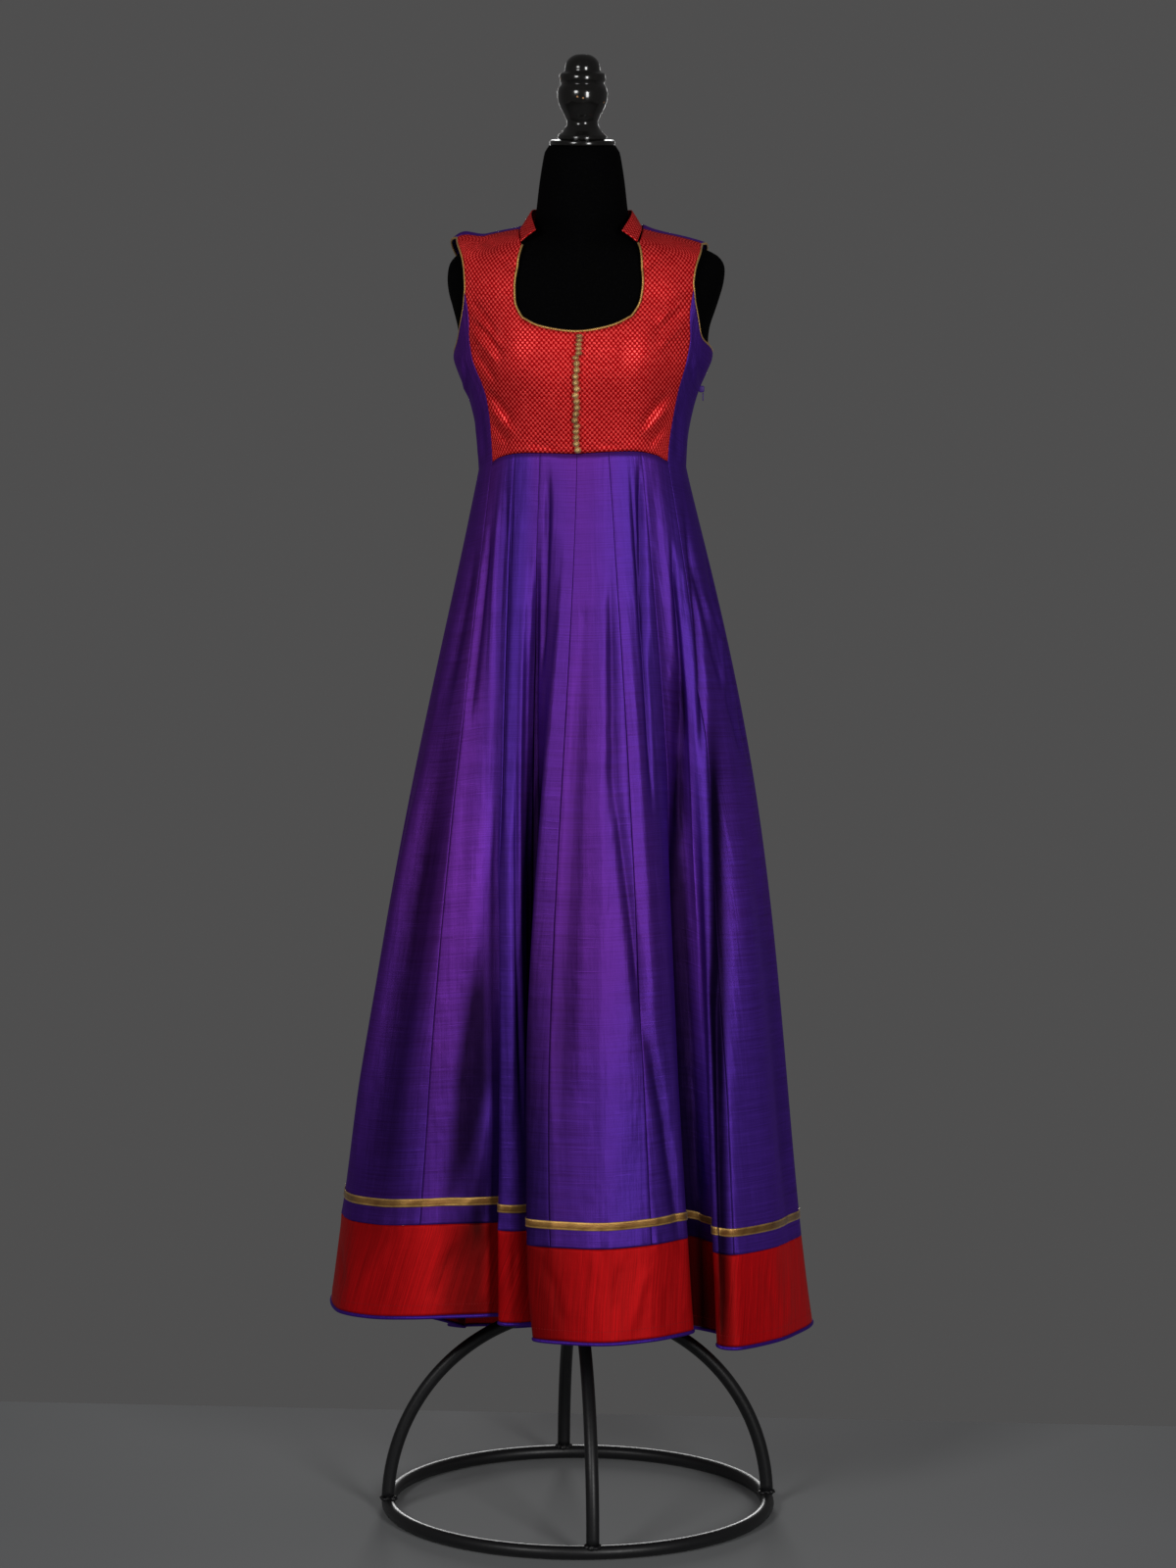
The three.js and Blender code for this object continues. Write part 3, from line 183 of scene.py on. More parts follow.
# Creases of the skirt: panels round and share of the way down, both ends, then
# half width, height, sag.
SKIRT_CREASES = [
    (0.2, 0.05, 0.24, 0.6, 5, -2.8, 4), (0.54, 0.28, 0.36, 0.9, 10, 6, 0),
    (0.86, 0.08, 0.66, 0.32, 8, -4.5, 0), (0.78, 0.26, 0.6, 1, 15, -10, -2),
    (1.04, 0.26, 0.82, 0.86, 10, 6, -3), (1.26, 0.06, 1.1, 0.32, 7, -5, 0),
    (1.14, 0.42, 1.06, 0.78, 14, 3, 0), (1.62, 0.38, 1.31, 0.76, 10, -4, -6),
    (1.46, 0.66, 1.12, 0.92, 11, -3, 0), (1.6, 0.72, 1.24, 0.92, 8, 3.6, 0),
    (1.5, 0.02, 1.5, 0.36, 5, 2.6, 2), (1.78, 0.01, 1.84, 0.48, 6, -5.5, 0),
    (2.04, 0.02, 2.03, 0.5, 4.5, -5.5, 0), (2.2, 0.34, 2.26, 0.82, 7, 3.5, 0),
    (1.95, 0.46, 2.02, 0.9, 5, -4, 0), (2.58, 0.08, 2.62, 0.85, 9, 2.8, 0),
    (3.02, 0.08, 3.08, 0.64, 7.5, -10, 0), (3.3, 0.24, 3.62, 0.99, 25, -11, 0),
    (3.24, 0, 3.31, 0.27, 6, -5.5, 0), (3.8, 0.1, 3.86, 0.5, 7, 2, 0),
    (4.27, 0.13, 4.12, 0.84, 9, -6, 2), (4.17, 0.177, 4.36, 0.19, 2.2, -2, 1),
    (4.48, 0.24, 4.52, 0.95, 12, 3.6, -4), (4.85, 0.13, 4.72, 0.42, 6.5, -5, 0),
    (4.72, 0.34, 5.02, 0.68, 6, -5.5, -3), (5.02, 0.62, 5.4, 0.94, 6, -5.5, -5),
    (5.22, 0.14, 5.2, 0.74, 9, 3.2, 3), (5.63, 0, 5.38, 0.44, 4.5, -5.5, 0),
    (5.97, 0, 5.54, 0.24, 8, -6.5, 4), (6.1, 0.243, 6.34, 0.253, 2.2, 2, -1),
    (6.74, 0.08, 6.34, 0.34, 7, -7, 5), (6.42, 0.22, 6.16, 0.46, 8, -7.5, 0),
    (6.06, 0.34, 5.98, 1, 9, -10, 0), (6.54, 0.24, 6.27, 1.02, 12, 7, 3),
    (7.27, 0.03, 6.88, 0.36, 5, -7, 0), (6.92, 0.55, 6.84, 1.06, 7, -11, 0),
    (7.18, 0.26, 6.88, 0.74, 9, -9.5, 0), (7.3, 0.14, 7.62, 0.22, 3.5, 3, 0),
    (7.66, 0.16, 7.38, 0.28, 3.5, 3, 0), (7.42, 0.24, 7.68, 0.34, 3.5, -3.5, 0),
    (7.24, 0.08, 7.46, 0.27, 4.5, -4, 5), (7.52, 0.12, 7.72, 0.3, 4.5, 3.5, -5),
    (7.78, 0.08, 7.86, 0.36, 5, -4, 4), (7.28, 0.34, 7.34, 0.98, 15, 6, 0),
    (7.62, 0.36, 7.66, 0.96, 9, -4, 0), (7.8, 0.42, 7.72, 0.92, 8, -3, 0),
    (8.4, 0.06, 8.48, 0.75, 7, -5.2, 3), (8.84, 0.1, 8.8, 0.9, 9, -6.5, 3),
    (9.3, 0.1, 9.36, 0.85, 7, 3.1, 2), (9.58, 0.05, 9.62, 0.6, 6, -4.2, 0),
    (9.96, 0.1, 9.92, 0.95, 9, -7.2, -3), (10.3, 0.12, 10.36, 0.9, 7, 2.9, 3),
    (10.7, 0.04, 10.76, 0.65, 6, -4.4, 2), (11.12, 0.2, 11.3, 0.95, 9, -7.2, 0),
    (11.62, 0.1, 11.58, 0.85, 8, 3.4, -3), (11.9, 0.02, 11.84, 0.45, 5.5, -4.4, 2),
    (12.25, 0.08, 12.3, 0.9, 10, 2.6, 3), (12.56, 0.06, 12.62, 0.55, 6, -4.2, 0),
    (12.92, 0.16, 12.98, 0.95, 9, -7.2, 3), (13.4, 0.1, 13.45, 0.88, 8, 3.1, 3),
    (13.74, 0.02, 13.7, 0.5, 5.5, -4.2, 0), (14.1, 0.3, 14.3, 0.96, 9, -6.5, 2),
    (14.62, 0.08, 14.6, 0.8, 7, 2.9, 0), (14.92, 0.05, 14.88, 0.55, 6, -4.4, 2),
    (15.26, 0.16, 15.24, 0.95, 9, -6.5, 2), (15.62, 0.08, 15.7, 0.8, 7, 2.9, -3),
    (4.02, 0.58, 4.01, 1.04, 8, 3.5, 0), (2.42, 0.3, 2.5, 0.8, 5, -3.5, 0),
]
# Painted shade where the silk is darker in a fold, or painted light (below 0), laid out
# like the creases, with the share of painted shade in place of the height.
SHADES = [
    (6.13, 0.26, 6.2, 1.15, 13, 1, 0), (6.36, 0.2, 6.36, 1.35, 10, -0.7, 0),
    (7.13, 0.26, 6.86, 0.74, 10, 1, 0), (6.92, 0.52, 6.84, 1.15, 8, 0.6, 0),
    (3.9, 0.45, 3.93, 1.4, 18, 0.6, 0), (1.42, 0.52, 1.43, 0.97, 12, 0.7, 0),
    (1.5, 0.32, 1.56, 0.8, 14, -0.6, 0), (1.6, 0.66, 1.61, 1.2, 8, -0.5, 0),
    (7.45, 0.1, 7.52, 1.5, 40, -0.55, 0),
]
# Creases of the hem band: panels round and height above the hem, both ends, then
# half width, height, sag.
BAND_CREASES = [
    (0.3, 90, 0.52, 20, 5, -1.6, 3), (0.78, 100, 0.62, 24, 5, 1.4, 2),
    (1.3, 98, 1.08, 14, 4.5, -1.7, -3), (1.55, 90, 1.5, 10, 4, 1.4, 0),
    (2.25, 104, 2.18, 30, 4.5, -1.5, 2), (3.92, 105, 4.05, 18, 4, -1.8, 4),
    (4, 92, 4.1, 10, 3, -1.4, 2), (4.7, 104, 4.6, 30, 5.5, -1.7, -4),
    (4.98, 96, 4.72, 8, 6, 1.5, -3), (5.16, 70, 5.1, 6, 4, -1.6, 1),
    (5.45, 100, 5.38, 20, 5, 1.3, 2), (6.7, 96, 6.8, 20, 5, -1.5, 2),
    (7.2, 100, 7.34, 12, 5, -1.7, 3), (7.6, 84, 7.48, 10, 4.5, 1.5, -2),
    (8.3, 98, 8.18, 14, 5, -1.6, 2), (8.95, 100, 9.1, 18, 5, 1.5, 2),
    (9.5, 96, 9.62, 16, 5, -1.7, 3), (10.4, 100, 10.3, 12, 5, -1.6, -3),
    (10.9, 90, 11.02, 10, 5, 1.4, 2), (11.8, 98, 11.7, 14, 5, -1.7, 2),
    (12.4, 92, 12.52, 8, 6, 1.5, 3), (13.5, 100, 13.6, 16, 5, -1.6, -2),
    (14.8, 98, 14.72, 14, 5, -1.7, 2), (15.5, 94, 15.62, 12, 5, 1.5, 2),
]
# How far the shot silk turns from magenta to blue, by panels round.
SHOT = [(0.0, 0.35), (0.6, 0.30), (1.2, 0.25), (2.2, 0.85), (2.9, 0.45), (3.5, 0.40),
        (4.3, 0.30), (5.0, 0.55), (5.6, 0.75), (6.3, 0.55), (7.0, 0.80), (8.0, 0.75),
        (9.4, 0.40), (10.5, 0.70), (11.8, 0.35), (12.9, 0.60), (14.0, 0.40), (15.2, 0.55)]


# ---- small maths
def smooth(low: float, high: float, value: Array) -> Array:
    """Smooth step from 0 at low to 1 at high."""
    share = np.clip((np.asarray(value, float) - low) / (high - low), 0.0, 1.0)
    return share * share * (3.0 - 2.0 * share)


def mix(first: Any, second: Any, share: Any) -> Any:
    """Straight blend from first to second."""
    return first + (second - first) * share


def vec(x: Any, y: Any, z: Any) -> Array:
    """Points from three coordinates that broadcast against each other."""
    return np.stack(np.broadcast_arrays(*(np.asarray(c, float) for c in (x, y, z))), -1)


def unit(rows: Array) -> Array:
    """Each vector at length 1."""
    return rows / np.maximum(np.linalg.norm(rows, axis=-1, keepdims=True), 1e-9)


def bearing(angle: Any) -> Array:
    """Level direction at an angle in degrees from straight ahead towards +X."""
    turn = np.radians(angle)
    return vec(np.sin(turn), -np.cos(turn), 0.0)


def swell(down: Array, rise: float, fall: float) -> Array:
    """Hump of height 1 that starts as down**rise and ends as (1 - down)**fall."""
    top = rise / (rise + fall)
    down = np.clip(down, 0.0, 1.0)
    return (down / top) ** rise * ((1.0 - down) / (1.0 - top)) ** fall


class Curve:
    """A smooth line through rows of a key and its values, level beyond the ends."""

    def __init__(self, keys: Sequence[float], values: Any, period: float = 0.0) -> None:
        """Prepares the slopes.

        Args:
            keys: rising keys, the first of them 0 where there is a period.
            values: a value or a row of values for each key.
            period: length after which the line repeats, or 0.
        """
        key, value = np.asarray(keys, float), np.asarray(values, float)
        self.period, self.ends = period, (key[0], key[-1])
        if period:
            key = np.concatenate([key[-2:] - period, key, key[:3] + period])
            value = np.concatenate([value[-2:], value, value[:3]])
        order = np.arange(len(key))
        before, after = np.maximum(order - 1, 0), np.minimum(order + 1, len(key) - 1)
        gap = (key[after] - key[before]).reshape((-1,) + (1,) * (value.ndim - 1))
        self.key, self.value = key, value
        self.slope = (value[after] - value[before]) / gap

    def __call__(self, wanted: Any) -> Array:
        """Reads the line.

        Args:
            wanted: keys, in an array of any shape.
        Returns:
            The value, or row of values, at each key.
        """
        x = np.asarray(wanted, float)
        x = np.mod(x, self.period) if self.period else np.clip(x, *self.ends)
        i = np.clip(np.searchsorted(self.key, x, side="right") - 1, 0, len(self.key) - 2)
        span = self.key[i + 1] - self.key[i]
        s = (x - self.key[i]) / span
        if self.value.ndim > 1:
            span, s = span[..., None], s[..., None]
        v0, v1, m0, m1 = self.value[i], self.value[i + 1], self.slope[i], self.slope[i + 1]
        bend = (2 * v0 - 2 * v1 + span * (m0 + m1)) * s ** 3
        turn = (3 * (v1 - v0) - span * (2 * m0 + m1)) * s ** 2
        return bend + turn + span * m0 * s + v0


def run_length(line: Array) -> Array:
    """Distance along a line to each of its points."""
    steps = np.linalg.norm(np.diff(line, axis=0), axis=1)
    return np.concatenate([[0.0], np.cumsum(steps)])


def read_line(wanted: Any, run: Array, line: Array) -> Array:
    """Points of a line at the wanted distances, given the distance to each of its own."""
    return np.stack([np.interp(wanted, run, line[:, k]) for k in range(3)], -1)


class Path:
    """A smooth path through points in space, read by share of its length."""

    STEPS = 40

    def __init__(self, points: Sequence[Any]) -> None:
        """Lays a centripetal curve through the points.

        Args:
            points: two or more places.
        """
        p = np.asarray(points, float)
        line = np.vstack([2 * p[0] - p[1], p, 2 * p[-1] - p[-2]])
        shares = np.linspace(0, 1, self.STEPS, endpoint=False)[:, None]
        pieces = [self._stretch(line[i:i + 4], shares) for i in range(len(p) - 1)]
        self.line = np.vstack(pieces + [p[-1:]])
        self.run = run_length(self.line)

    @staticmethod
    def _stretch(four: Array, s: Array) -> Array:
        """Bends one stretch of the curve.

        Args:
            four: the stretch's two ends, between the points before and after.
            s: shares of the way along it, as a column.
        Returns:
            Points of the stretch.
        """
        a, b, c, d = four
        t0, t1, t2 = (max(float(np.sum((q - p) ** 2)) ** 0.25, 1e-4)
                      for p, q in ((a, b), (b, c), (c, d)))
        m0 = ((b - a) / t0 - (c - a) / (t0 + t1) + (c - b) / t1) * t1
        m1 = ((c - b) / t1 - (d - b) / (t1 + t2) + (d - c) / t2) * t1
        return ((2 * b - 2 * c + m0 + m1) * s ** 3 + (3 * c - 3 * b - 2 * m0 - m1) * s ** 2
                + m0 * s + b)

    def at(self, shares: Any) -> Array:
        """Points at shares of the length."""
        return read_line(np.asarray(shares, float) * self.run[-1], self.run, self.line)

    def spread(self, count: int) -> Array:
        """Evenly spread points, both ends included."""
        return self.at(np.linspace(0, 1, count))


def crease_field(rows: Rows, a: Array, b: Array, scale: Pair = (1.0, 1.0)) -> Array:
    """Height of a table of creases.

    Args:
        rows: both ends, half width, height and sag of each crease.
        a: first coordinate of every point, as in the table.
        b: second coordinate.
        scale: millimetres per unit of each coordinate.
    Returns:
        Millimetres to lift each point by.
    """
    fading = 0.3    # share of a crease over which each end fades out
    total = np.zeros(np.broadcast(a, b).shape)
    for a0, b0, a1, b1, width, height, sag in rows:
        run_a, run_b = (a1 - a0) * scale[0], (b1 - b0) * scale[1]
        run = math.hypot(run_a, run_b)
        da, db = (a - a0) * scale[0], (b - b0) * scale[1]
        along = (da * run_a + db * run_b) / run ** 2
        aside = (db * run_a - da * run_b) / run - sag * 4 * along * (1 - along)
        fade = smooth(0.0, fading, along) * smooth(0.0, fading, 1 - along)
        total += height * fade * np.exp(-(aside / width) ** 2)
    return total


# ---- the torso
class Torso:
    """The form's outline, which the bodice follows."""

    HEART = np.array([0.0, 0.0, TORSO_HEART])
    REACH = 420.0
    HALVINGS = 30
    TIP_X, TIP_Z = (115, 152), (1500, 1555)    # where the tip at -X rises
    SHOULDER_Z = (1480, 1580)                  # where the cloth's ease turns upward
    SEAM_START = 1520                          # height from which the shoulder is sought
    STEP = 1.5                                 # for slopes, in millimetres
    SIDE_DEPTH = 30                            # depth at which a table of creases is full
    FRONT_PRESS, BACK_PRESS = 1.8, 1.5         # how strongly each table is pressed in
    RIPPLE, RIPPLE_RUNS = 0.25, (17.0, 31.0, 23.0)

    def __init__(self) -> None:
        """Prepares the outline's curve."""
        self.row = Curve(FORM[:, 0], FORM[:, 1:])

    def level(self, p: Array, grow: float) -> Array:
        """Tells inside from outside.

        Args:
            p: points in millimetres.
            grow: how far the cloth stands off the form there.
        Returns:
            Below 1 inside, above 1 outside.
        """
        x, y, z = p[..., 0], p[..., 1], p[..., 2]
        if grow > 0:
            z = z - TIP_LIFT * smooth(*self.TIP_X, -x) * smooth(*self.TIP_Z, z)
        z = z - grow * smooth(*self.SHOULDER_Z, p[..., 2])
        left, right, front, back, power = np.moveaxis(self.row(z), -1, 0)
        tall = ((z - BUST_Z) / BUST_HEIGHT) ** 2
        bumps = sum(np.exp(-((x - s * BUST_X) / BUST_WIDTH) ** 2 - tall) for s in (-1, 1))
        depth = np.where(y < 0, front + BUST_RISE * bumps, back) + grow
        half = np.where(x < 0, left, right) + grow
        return (np.abs(x) / half) ** power + (np.abs(y) / depth) ** power

    def cast(self, start: Array, aim: Array, grow: float = EASE) -> Array:
        """Finds the cloth along rays.

        Args:
            start: where each ray starts, inside the form.
            aim: its direction.
            grow: how far the cloth stands off the form.
        Returns:
            The point of the surface on each ray.
        """
        start, aim = np.broadcast_arrays(start, unit(aim))
        inside = np.zeros(start.shape[:-1])
        outside = inside + self.REACH
        for _ in range(self.HALVINGS):
            middle = (inside + outside) / 2
            p = start + aim * middle[..., None]
            within = (p[..., 2] <= FORM_TOP) & (self.level(p, grow) < 1)
            inside, outside = np.where(within, middle, inside), np.where(within, outside, middle)
        return start + aim * inside[..., None]

    def onto(self, p: Array) -> Array:
        """Points brought onto the cloth along lines from the heart."""
        return self.cast(self.HEART, p - self.HEART)

    def facing(self, x: Any, z: Any, way: float) -> Array:
        """The cloth in front (way -1) or behind (way 1) at x and z."""
        x, z = np.asarray(x, float), np.asarray(z, float)
        return self.cast(vec(x, 0, z + HANG * x), np.array([0.0, way, 0.0]))

    def round(self, angle: Any, z: Any) -> Array:
        """The cloth at an angle and a height."""
        out = bearing(angle)
        return self.cast(vec(0, 0, z + HANG * SIDE * out[..., 0]), out)

    def shoulder(self, x: float) -> Array:
        """The shoulder seam at x."""
        lean = math.radians(SHOULDER_SEAM_LEAN)
        aim = np.array([0.0, -math.sin(lean), math.cos(lean)])
        return self.cast(vec(x, 0, self.SEAM_START), aim)

    def normal(self, p: Array) -> Array:
        """Outward direction of the cloth at points on it."""
        sides = [self.level(p + step, EASE) - self.level(p - step, EASE)
                 for step in self.STEP * np.eye(3)]
        return unit(np.stack(sides, -1))

    def creased(self, p: Array) -> Array:
        """Presses the bodice's creases in.

        Args:
            p: points of the smooth cloth.
        Returns:
            The points moved.
        """
        x, y, z = p[..., 0], p[..., 1], p[..., 2]
        front, back = (smooth(0, self.SIDE_DEPTH, depth) for depth in (-y, y))
        lift = front * crease_field(FRONT_CREASES, x, z) * self.FRONT_PRESS
        lift = lift + back * crease_field(BACK_CREASES, x, z) * self.BACK_PRESS
        aside, slant, tall = self.RIPPLE_RUNS
        ripple = np.sin(x / aside + z / slant) * np.sin(z / tall + 1.1)
        return p + self.normal(p) * (lift + self.RIPPLE * ripple)[..., None]


TORSO = Torso()


# ---- the skirt
class Skirt:
    """The sixteen panels below the waist as one surface.

    A point is named by `at`, panels round from the left side seam, and `down`,
    0 at the waist to 1 at the hem.
    """

    SAMPLES = 24
    SCALE = (78.0, 1040.0)      # millimetres in a panel and in the skirt's length
    BAND_SCALE = (120.0, 1.0)
    STEP = 0.004
    BELLY, SWAY = (1.3, 2), (2, 1)      # how the folds' belly and shift rise and fall
    HEM_BLUE, BLUE_SPAN = 0.45, (0.45, 0.95)
    # height, turns in a panel, turn down the skirt, start: the long soft waves
    WAVES = ((0.55, 1.0, 5, 0), (0.5, 1.75, -4, 1), (0.35, 2.5, 9, 2.2))
    WAVE_SPAN = (0.02, 0.4)
    # height, turns in a panel, start: the puckers along the band's seam
    PUCKERS = ((1.0, 6.0, 0), (0.8, 3.9375, 1.3), (0.6, 9.5, 0.4))
    PUCKER_PATCHES = (0.8125, 0.6)
    PUCKER_HEIGHT, PUCKER_ABOVE, PUCKER_BELOW = 0.75, 15.0, 9.0
    TUCK_HEIGHT, TUCK_RISE, TUCK_REACH = 0.35, 18.0, 8.0
    FOLD_SLOPE = 60.0           # millimetres in a panel that count as no fold
    FOLD_LOOKS = np.linspace(-0.9, 0.9, 19)     # how far round a fold is looked for
    # millimetres at the waist, and what the hem adds: where painted shade starts, and its span
    SHADE_START, SHADE_SPAN = (1.5, 6.0), (5.0, 11.0)
    # creases add painted shade, ridges take some away; LIGHTEST caps the painted light below 0
    CREASE_DEPTH, CREASE_SHADE = 13.0, 0.6
    RIDGE_HEIGHT, RIDGE_LIGHT = 5.0, 0.8
    LIGHTEST = -0.55

    def __init__(self) -> None:
        """Prepares the waist line and the folds."""
        heights = Curve([row[0] for row in WAIST], [row[1] for row in WAIST])
        at = np.arange(PANELS * self.SAMPLES) / self.SAMPLES
        angle = self.angle(at)
        ahead = np.abs(np.mod(angle + 180, 360) - 180)
        self.waist = Curve(at, TORSO.round(angle, heights(ahead)), PANELS)
        hem = FOLDS[:, 2:3] * bearing(FOLDS[:, 1])[:, :2]
        self.fold = Curve(FOLDS[:, 0], np.hstack([hem, FOLDS[:, 3:]]), PANELS)
        self.shot = Curve([row[0] for row in SHOT], [row[1] for row in SHOT], PANELS)

    def blueness(self, at: Array, down: Array) -> Array:
        """How far the shot silk turns to blue, more so towards the hem."""
        return self.shot(at) + self.HEM_BLUE * smooth(*self.BLUE_SPAN, down)

    @staticmethod
    def angle(at: Array) -> Array:
        """Angle of the waist at `at`, in degrees."""
        turns = np.floor(np.asarray(at, float) / PANELS)
        return np.interp(at - turns * PANELS, np.arange(PANELS + 1), WAIST_SEAMS) + 360 * turns

    def base(self, at: Array, down: Array) -> Array:
        """Lays out the surface without its creases.

        Args:
            at: panels round.
            down: share of the way down.
        Returns:
            Points in millimetres.
        """
        at, down = np.broadcast_arrays(np.asarray(at, float), np.asarray(down, float))
        out = bearing(self.angle(at))
        waist, fold = self.waist(at), self.fold(at)
        share = down[..., None]
        oval = out * np.array([HEM_HALF[0], HEM_HALF[1], 0.0])
        hem = vec(fold[..., 0], fold[..., 1], 0.0)
        p = mix(waist, oval, share) + (hem - oval) * share ** FOLD_GROWTH
        p = p + out * (fold[..., 3] * swell(down, *self.BELLY))[..., None]
        p[..., 0] += fold[..., 4] * swell(down, *self.SWAY)
        p[..., 2] = mix(waist[..., 2], fold[..., 2], down)
        return p

    def normal(self, at: Array, down: Array) -> Array:
        """Outward direction of the surface.

        Args:
            at: panels round.
            down: share of the way from waist to hem.
        Returns:
            Unit vectors.
        """
        low = np.clip(down, 0, 1 - self.STEP)
        along = self.base(at + self.STEP, down) - self.base(at - self.STEP, down)
        fall = self.base(at, low + self.STEP) - self.base(at, low)
        return unit(np.cross(fall, along))

    def length(self, at: Array) -> Array:
        """Straight length of the skirt from waist to hem."""
        return np.linalg.norm(self.base(at, 0.0) - self.base(at, 1.0), axis=-1)

    def above(self, at: Array, rise: Any) -> Array:
        """How far down a line stands that runs `rise` above the hem."""
        return 1 - rise / self.length(at)

    def relief(self, at: Array, down: Array) -> Array:
        """Height of the creases, waves, puckers and tucks.

        Args:
            at: panels round.
            down: share of the way down.
        Returns:
            Millimetres to lift each point by.
        """
        rise, own = (1 - down) * self.length(at), np.mod(at, PANELS)
        lift = crease_field(SKIRT_CREASES, own, down, self.SCALE)
        lift = lift + crease_field(BAND_CREASES, own, rise, self.BAND_SCALE)
        turn = at * FULL_TURN
        waves = sum(height * np.sin(turn * turns + fall * down + start)
                    for height, turns, fall, start in self.WAVES)
        lift = lift + waves * smooth(*self.WAVE_SPAN, down)
        patches, first = self.PUCKER_PATCHES
        gather = sum(height * np.sin(turn * turns + start)
                     for height, turns, start in self.PUCKERS)
        gather = gather * np.sin(turn * patches + first) ** 2
        reach = np.where(rise > BORDER, self.PUCKER_ABOVE, self.PUCKER_BELOW)
        lift = lift + self.PUCKER_HEIGHT * gather * np.exp(-np.abs(rise - BORDER) / reach)
        tuck = np.sin(turn * 7.0 + 0.7) * np.sin(turn * 1.5) ** 2
        fade = np.exp(-np.abs(rise - self.TUCK_RISE) / self.TUCK_REACH)
        return lift + self.TUCK_HEIGHT * tuck * fade

    def painted_shading(self, at: Array, down: Array) -> Array:
        """Painted shade of each point: darker deep in folds and creases, lighter on ridges.

        Args:
            at: panels round.
            down: share of the way down.
        Returns:
            1 for full painted shade deep in a fold, 0 on open cloth, less where it stands
            proud, and below 0 for painted light.
        """
        def reach(shift: float) -> Array:
            """Distance from the middle of the skirt, with its creases."""
            p = self.base(at + shift, down)
            round_it = np.hypot(p[..., 0] / HEM_HALF[0], p[..., 1] / HEM_HALF[1])
            return round_it * sum(HEM_HALF) / 2 + self.relief(at + shift, down)

        here = reach(0.0)
        depth = np.zeros_like(here)
        for shift in self.FOLD_LOOKS:
            depth = np.maximum(depth, reach(shift) - abs(shift) * self.FOLD_SLOPE - here)
        start, later = self.SHADE_START
        span, wider = self.SHADE_SPAN
        # painted shade in folds and creases, less on ridges, plus SHADES' painted shade and light
        fold = np.clip((depth - start - later * down) / (span + wider * down), 0.0, 1.0)
        lift = self.relief(at, down)
        crease = np.clip(-lift / self.CREASE_DEPTH, 0.0, self.CREASE_SHADE)
        ridge = self.RIDGE_LIGHT * np.clip(lift / self.RIDGE_HEIGHT, 0.0, 1.0)
        shade = crease_field(SHADES, np.mod(at, PANELS), down, self.SCALE)
        shade = np.clip(fold + crease, 0.0, 1.0) * (1.0 - ridge) + shade
        return np.clip(shade, self.LIGHTEST, 1.0)

    def surface(self, at: Any, down: Any, off: float = 0.0) -> Array:
        """Lays out the creased surface.

        Args:
            at: panels round.
            down: share of the way down.
            off: millimetres to stand off it.
        Returns:
            Points in millimetres.
        """
        at, down = np.broadcast_arrays(np.asarray(at, float), np.asarray(down, float))
        lift = self.relief(at, down) + off
        return self.base(at, down) + self.normal(at, down) * lift[..., None]

    def beside(self, at: Array, down: Array, shift: float) -> Array:
        """A seam's line moved along the cloth by `shift` millimetres."""
        near = self.base(at + self.STEP, down) - self.base(at - self.STEP, down)
        return at + shift * 2 * self.STEP / np.maximum(np.linalg.norm(near, axis=-1), 1e-6)

    def between_seams(self, at: Array, down: Array) -> Array:
        """Spreads a row of places down a grid, half a seam in from both sides.

        Args:
            at: panels round, one for each column.
            down: share of the way down, for the whole grid.
        Returns:
            Panels round, for the whole grid.
        """
        own = np.broadcast_to(at[None], down.shape).copy()
        for side, half in ((0, SEAM_GAP / 2), (-1, -SEAM_GAP / 2)):
            own[:, side] = self.beside(own[:, side], down[:, side], half)
        return own


SKIRT = Skirt()


# ---- materials
class Signal:
    """A value socket of a material; arithmetic on it adds Math nodes."""

    def __init__(self, tree: "Tree", socket: Any) -> None:
        """Keeps the tree and the socket."""
        self.tree, self.socket = tree, socket

    def _math(self, operation: str, *values: Any) -> "Signal":
        """A Math node on the given values."""
        made = self.tree.node("ShaderNodeMath", {"operation": operation}, dict(enumerate(values)))
        return Signal(self.tree, made.outputs[0])

    def __add__(self, other: Any) -> "Signal":
        """Sum."""
        return self._math("ADD", self, other)

    def __sub__(self, other: Any) -> "Signal":
        """Difference."""
        return self._math("SUBTRACT", self, other)

    def __rsub__(self, other: Any) -> "Signal":
        """Difference from a number."""
        return self._math("SUBTRACT", other, self)

    def __mul__(self, other: Any) -> "Signal":
        """Product."""
        return self._math("MULTIPLY", self, other)

    def __truediv__(self, other: Any) -> "Signal":
        """Quotient."""
        return self._math("DIVIDE", self, other)

    __radd__ = __add__
    __rmul__ = __mul__

    def cosine(self) -> "Signal":
        """Cosine of the value."""
        return self._math("COSINE", self)

    def size(self) -> "Signal":
        """Value without its sign."""
        return self._math("ABSOLUTE", self)

    def between(self, low: float, high: float) -> "Signal":
        """0 at low to 1 at high, held at the ends."""
        made = self.tree.node("ShaderNodeMapRange", {"interpolation_type": "SMOOTHSTEP"},
                              {0: self, 1: low, 2: high, 3: 0.0, 4: 1.0})
        return Signal(self.tree, made.outputs[0])


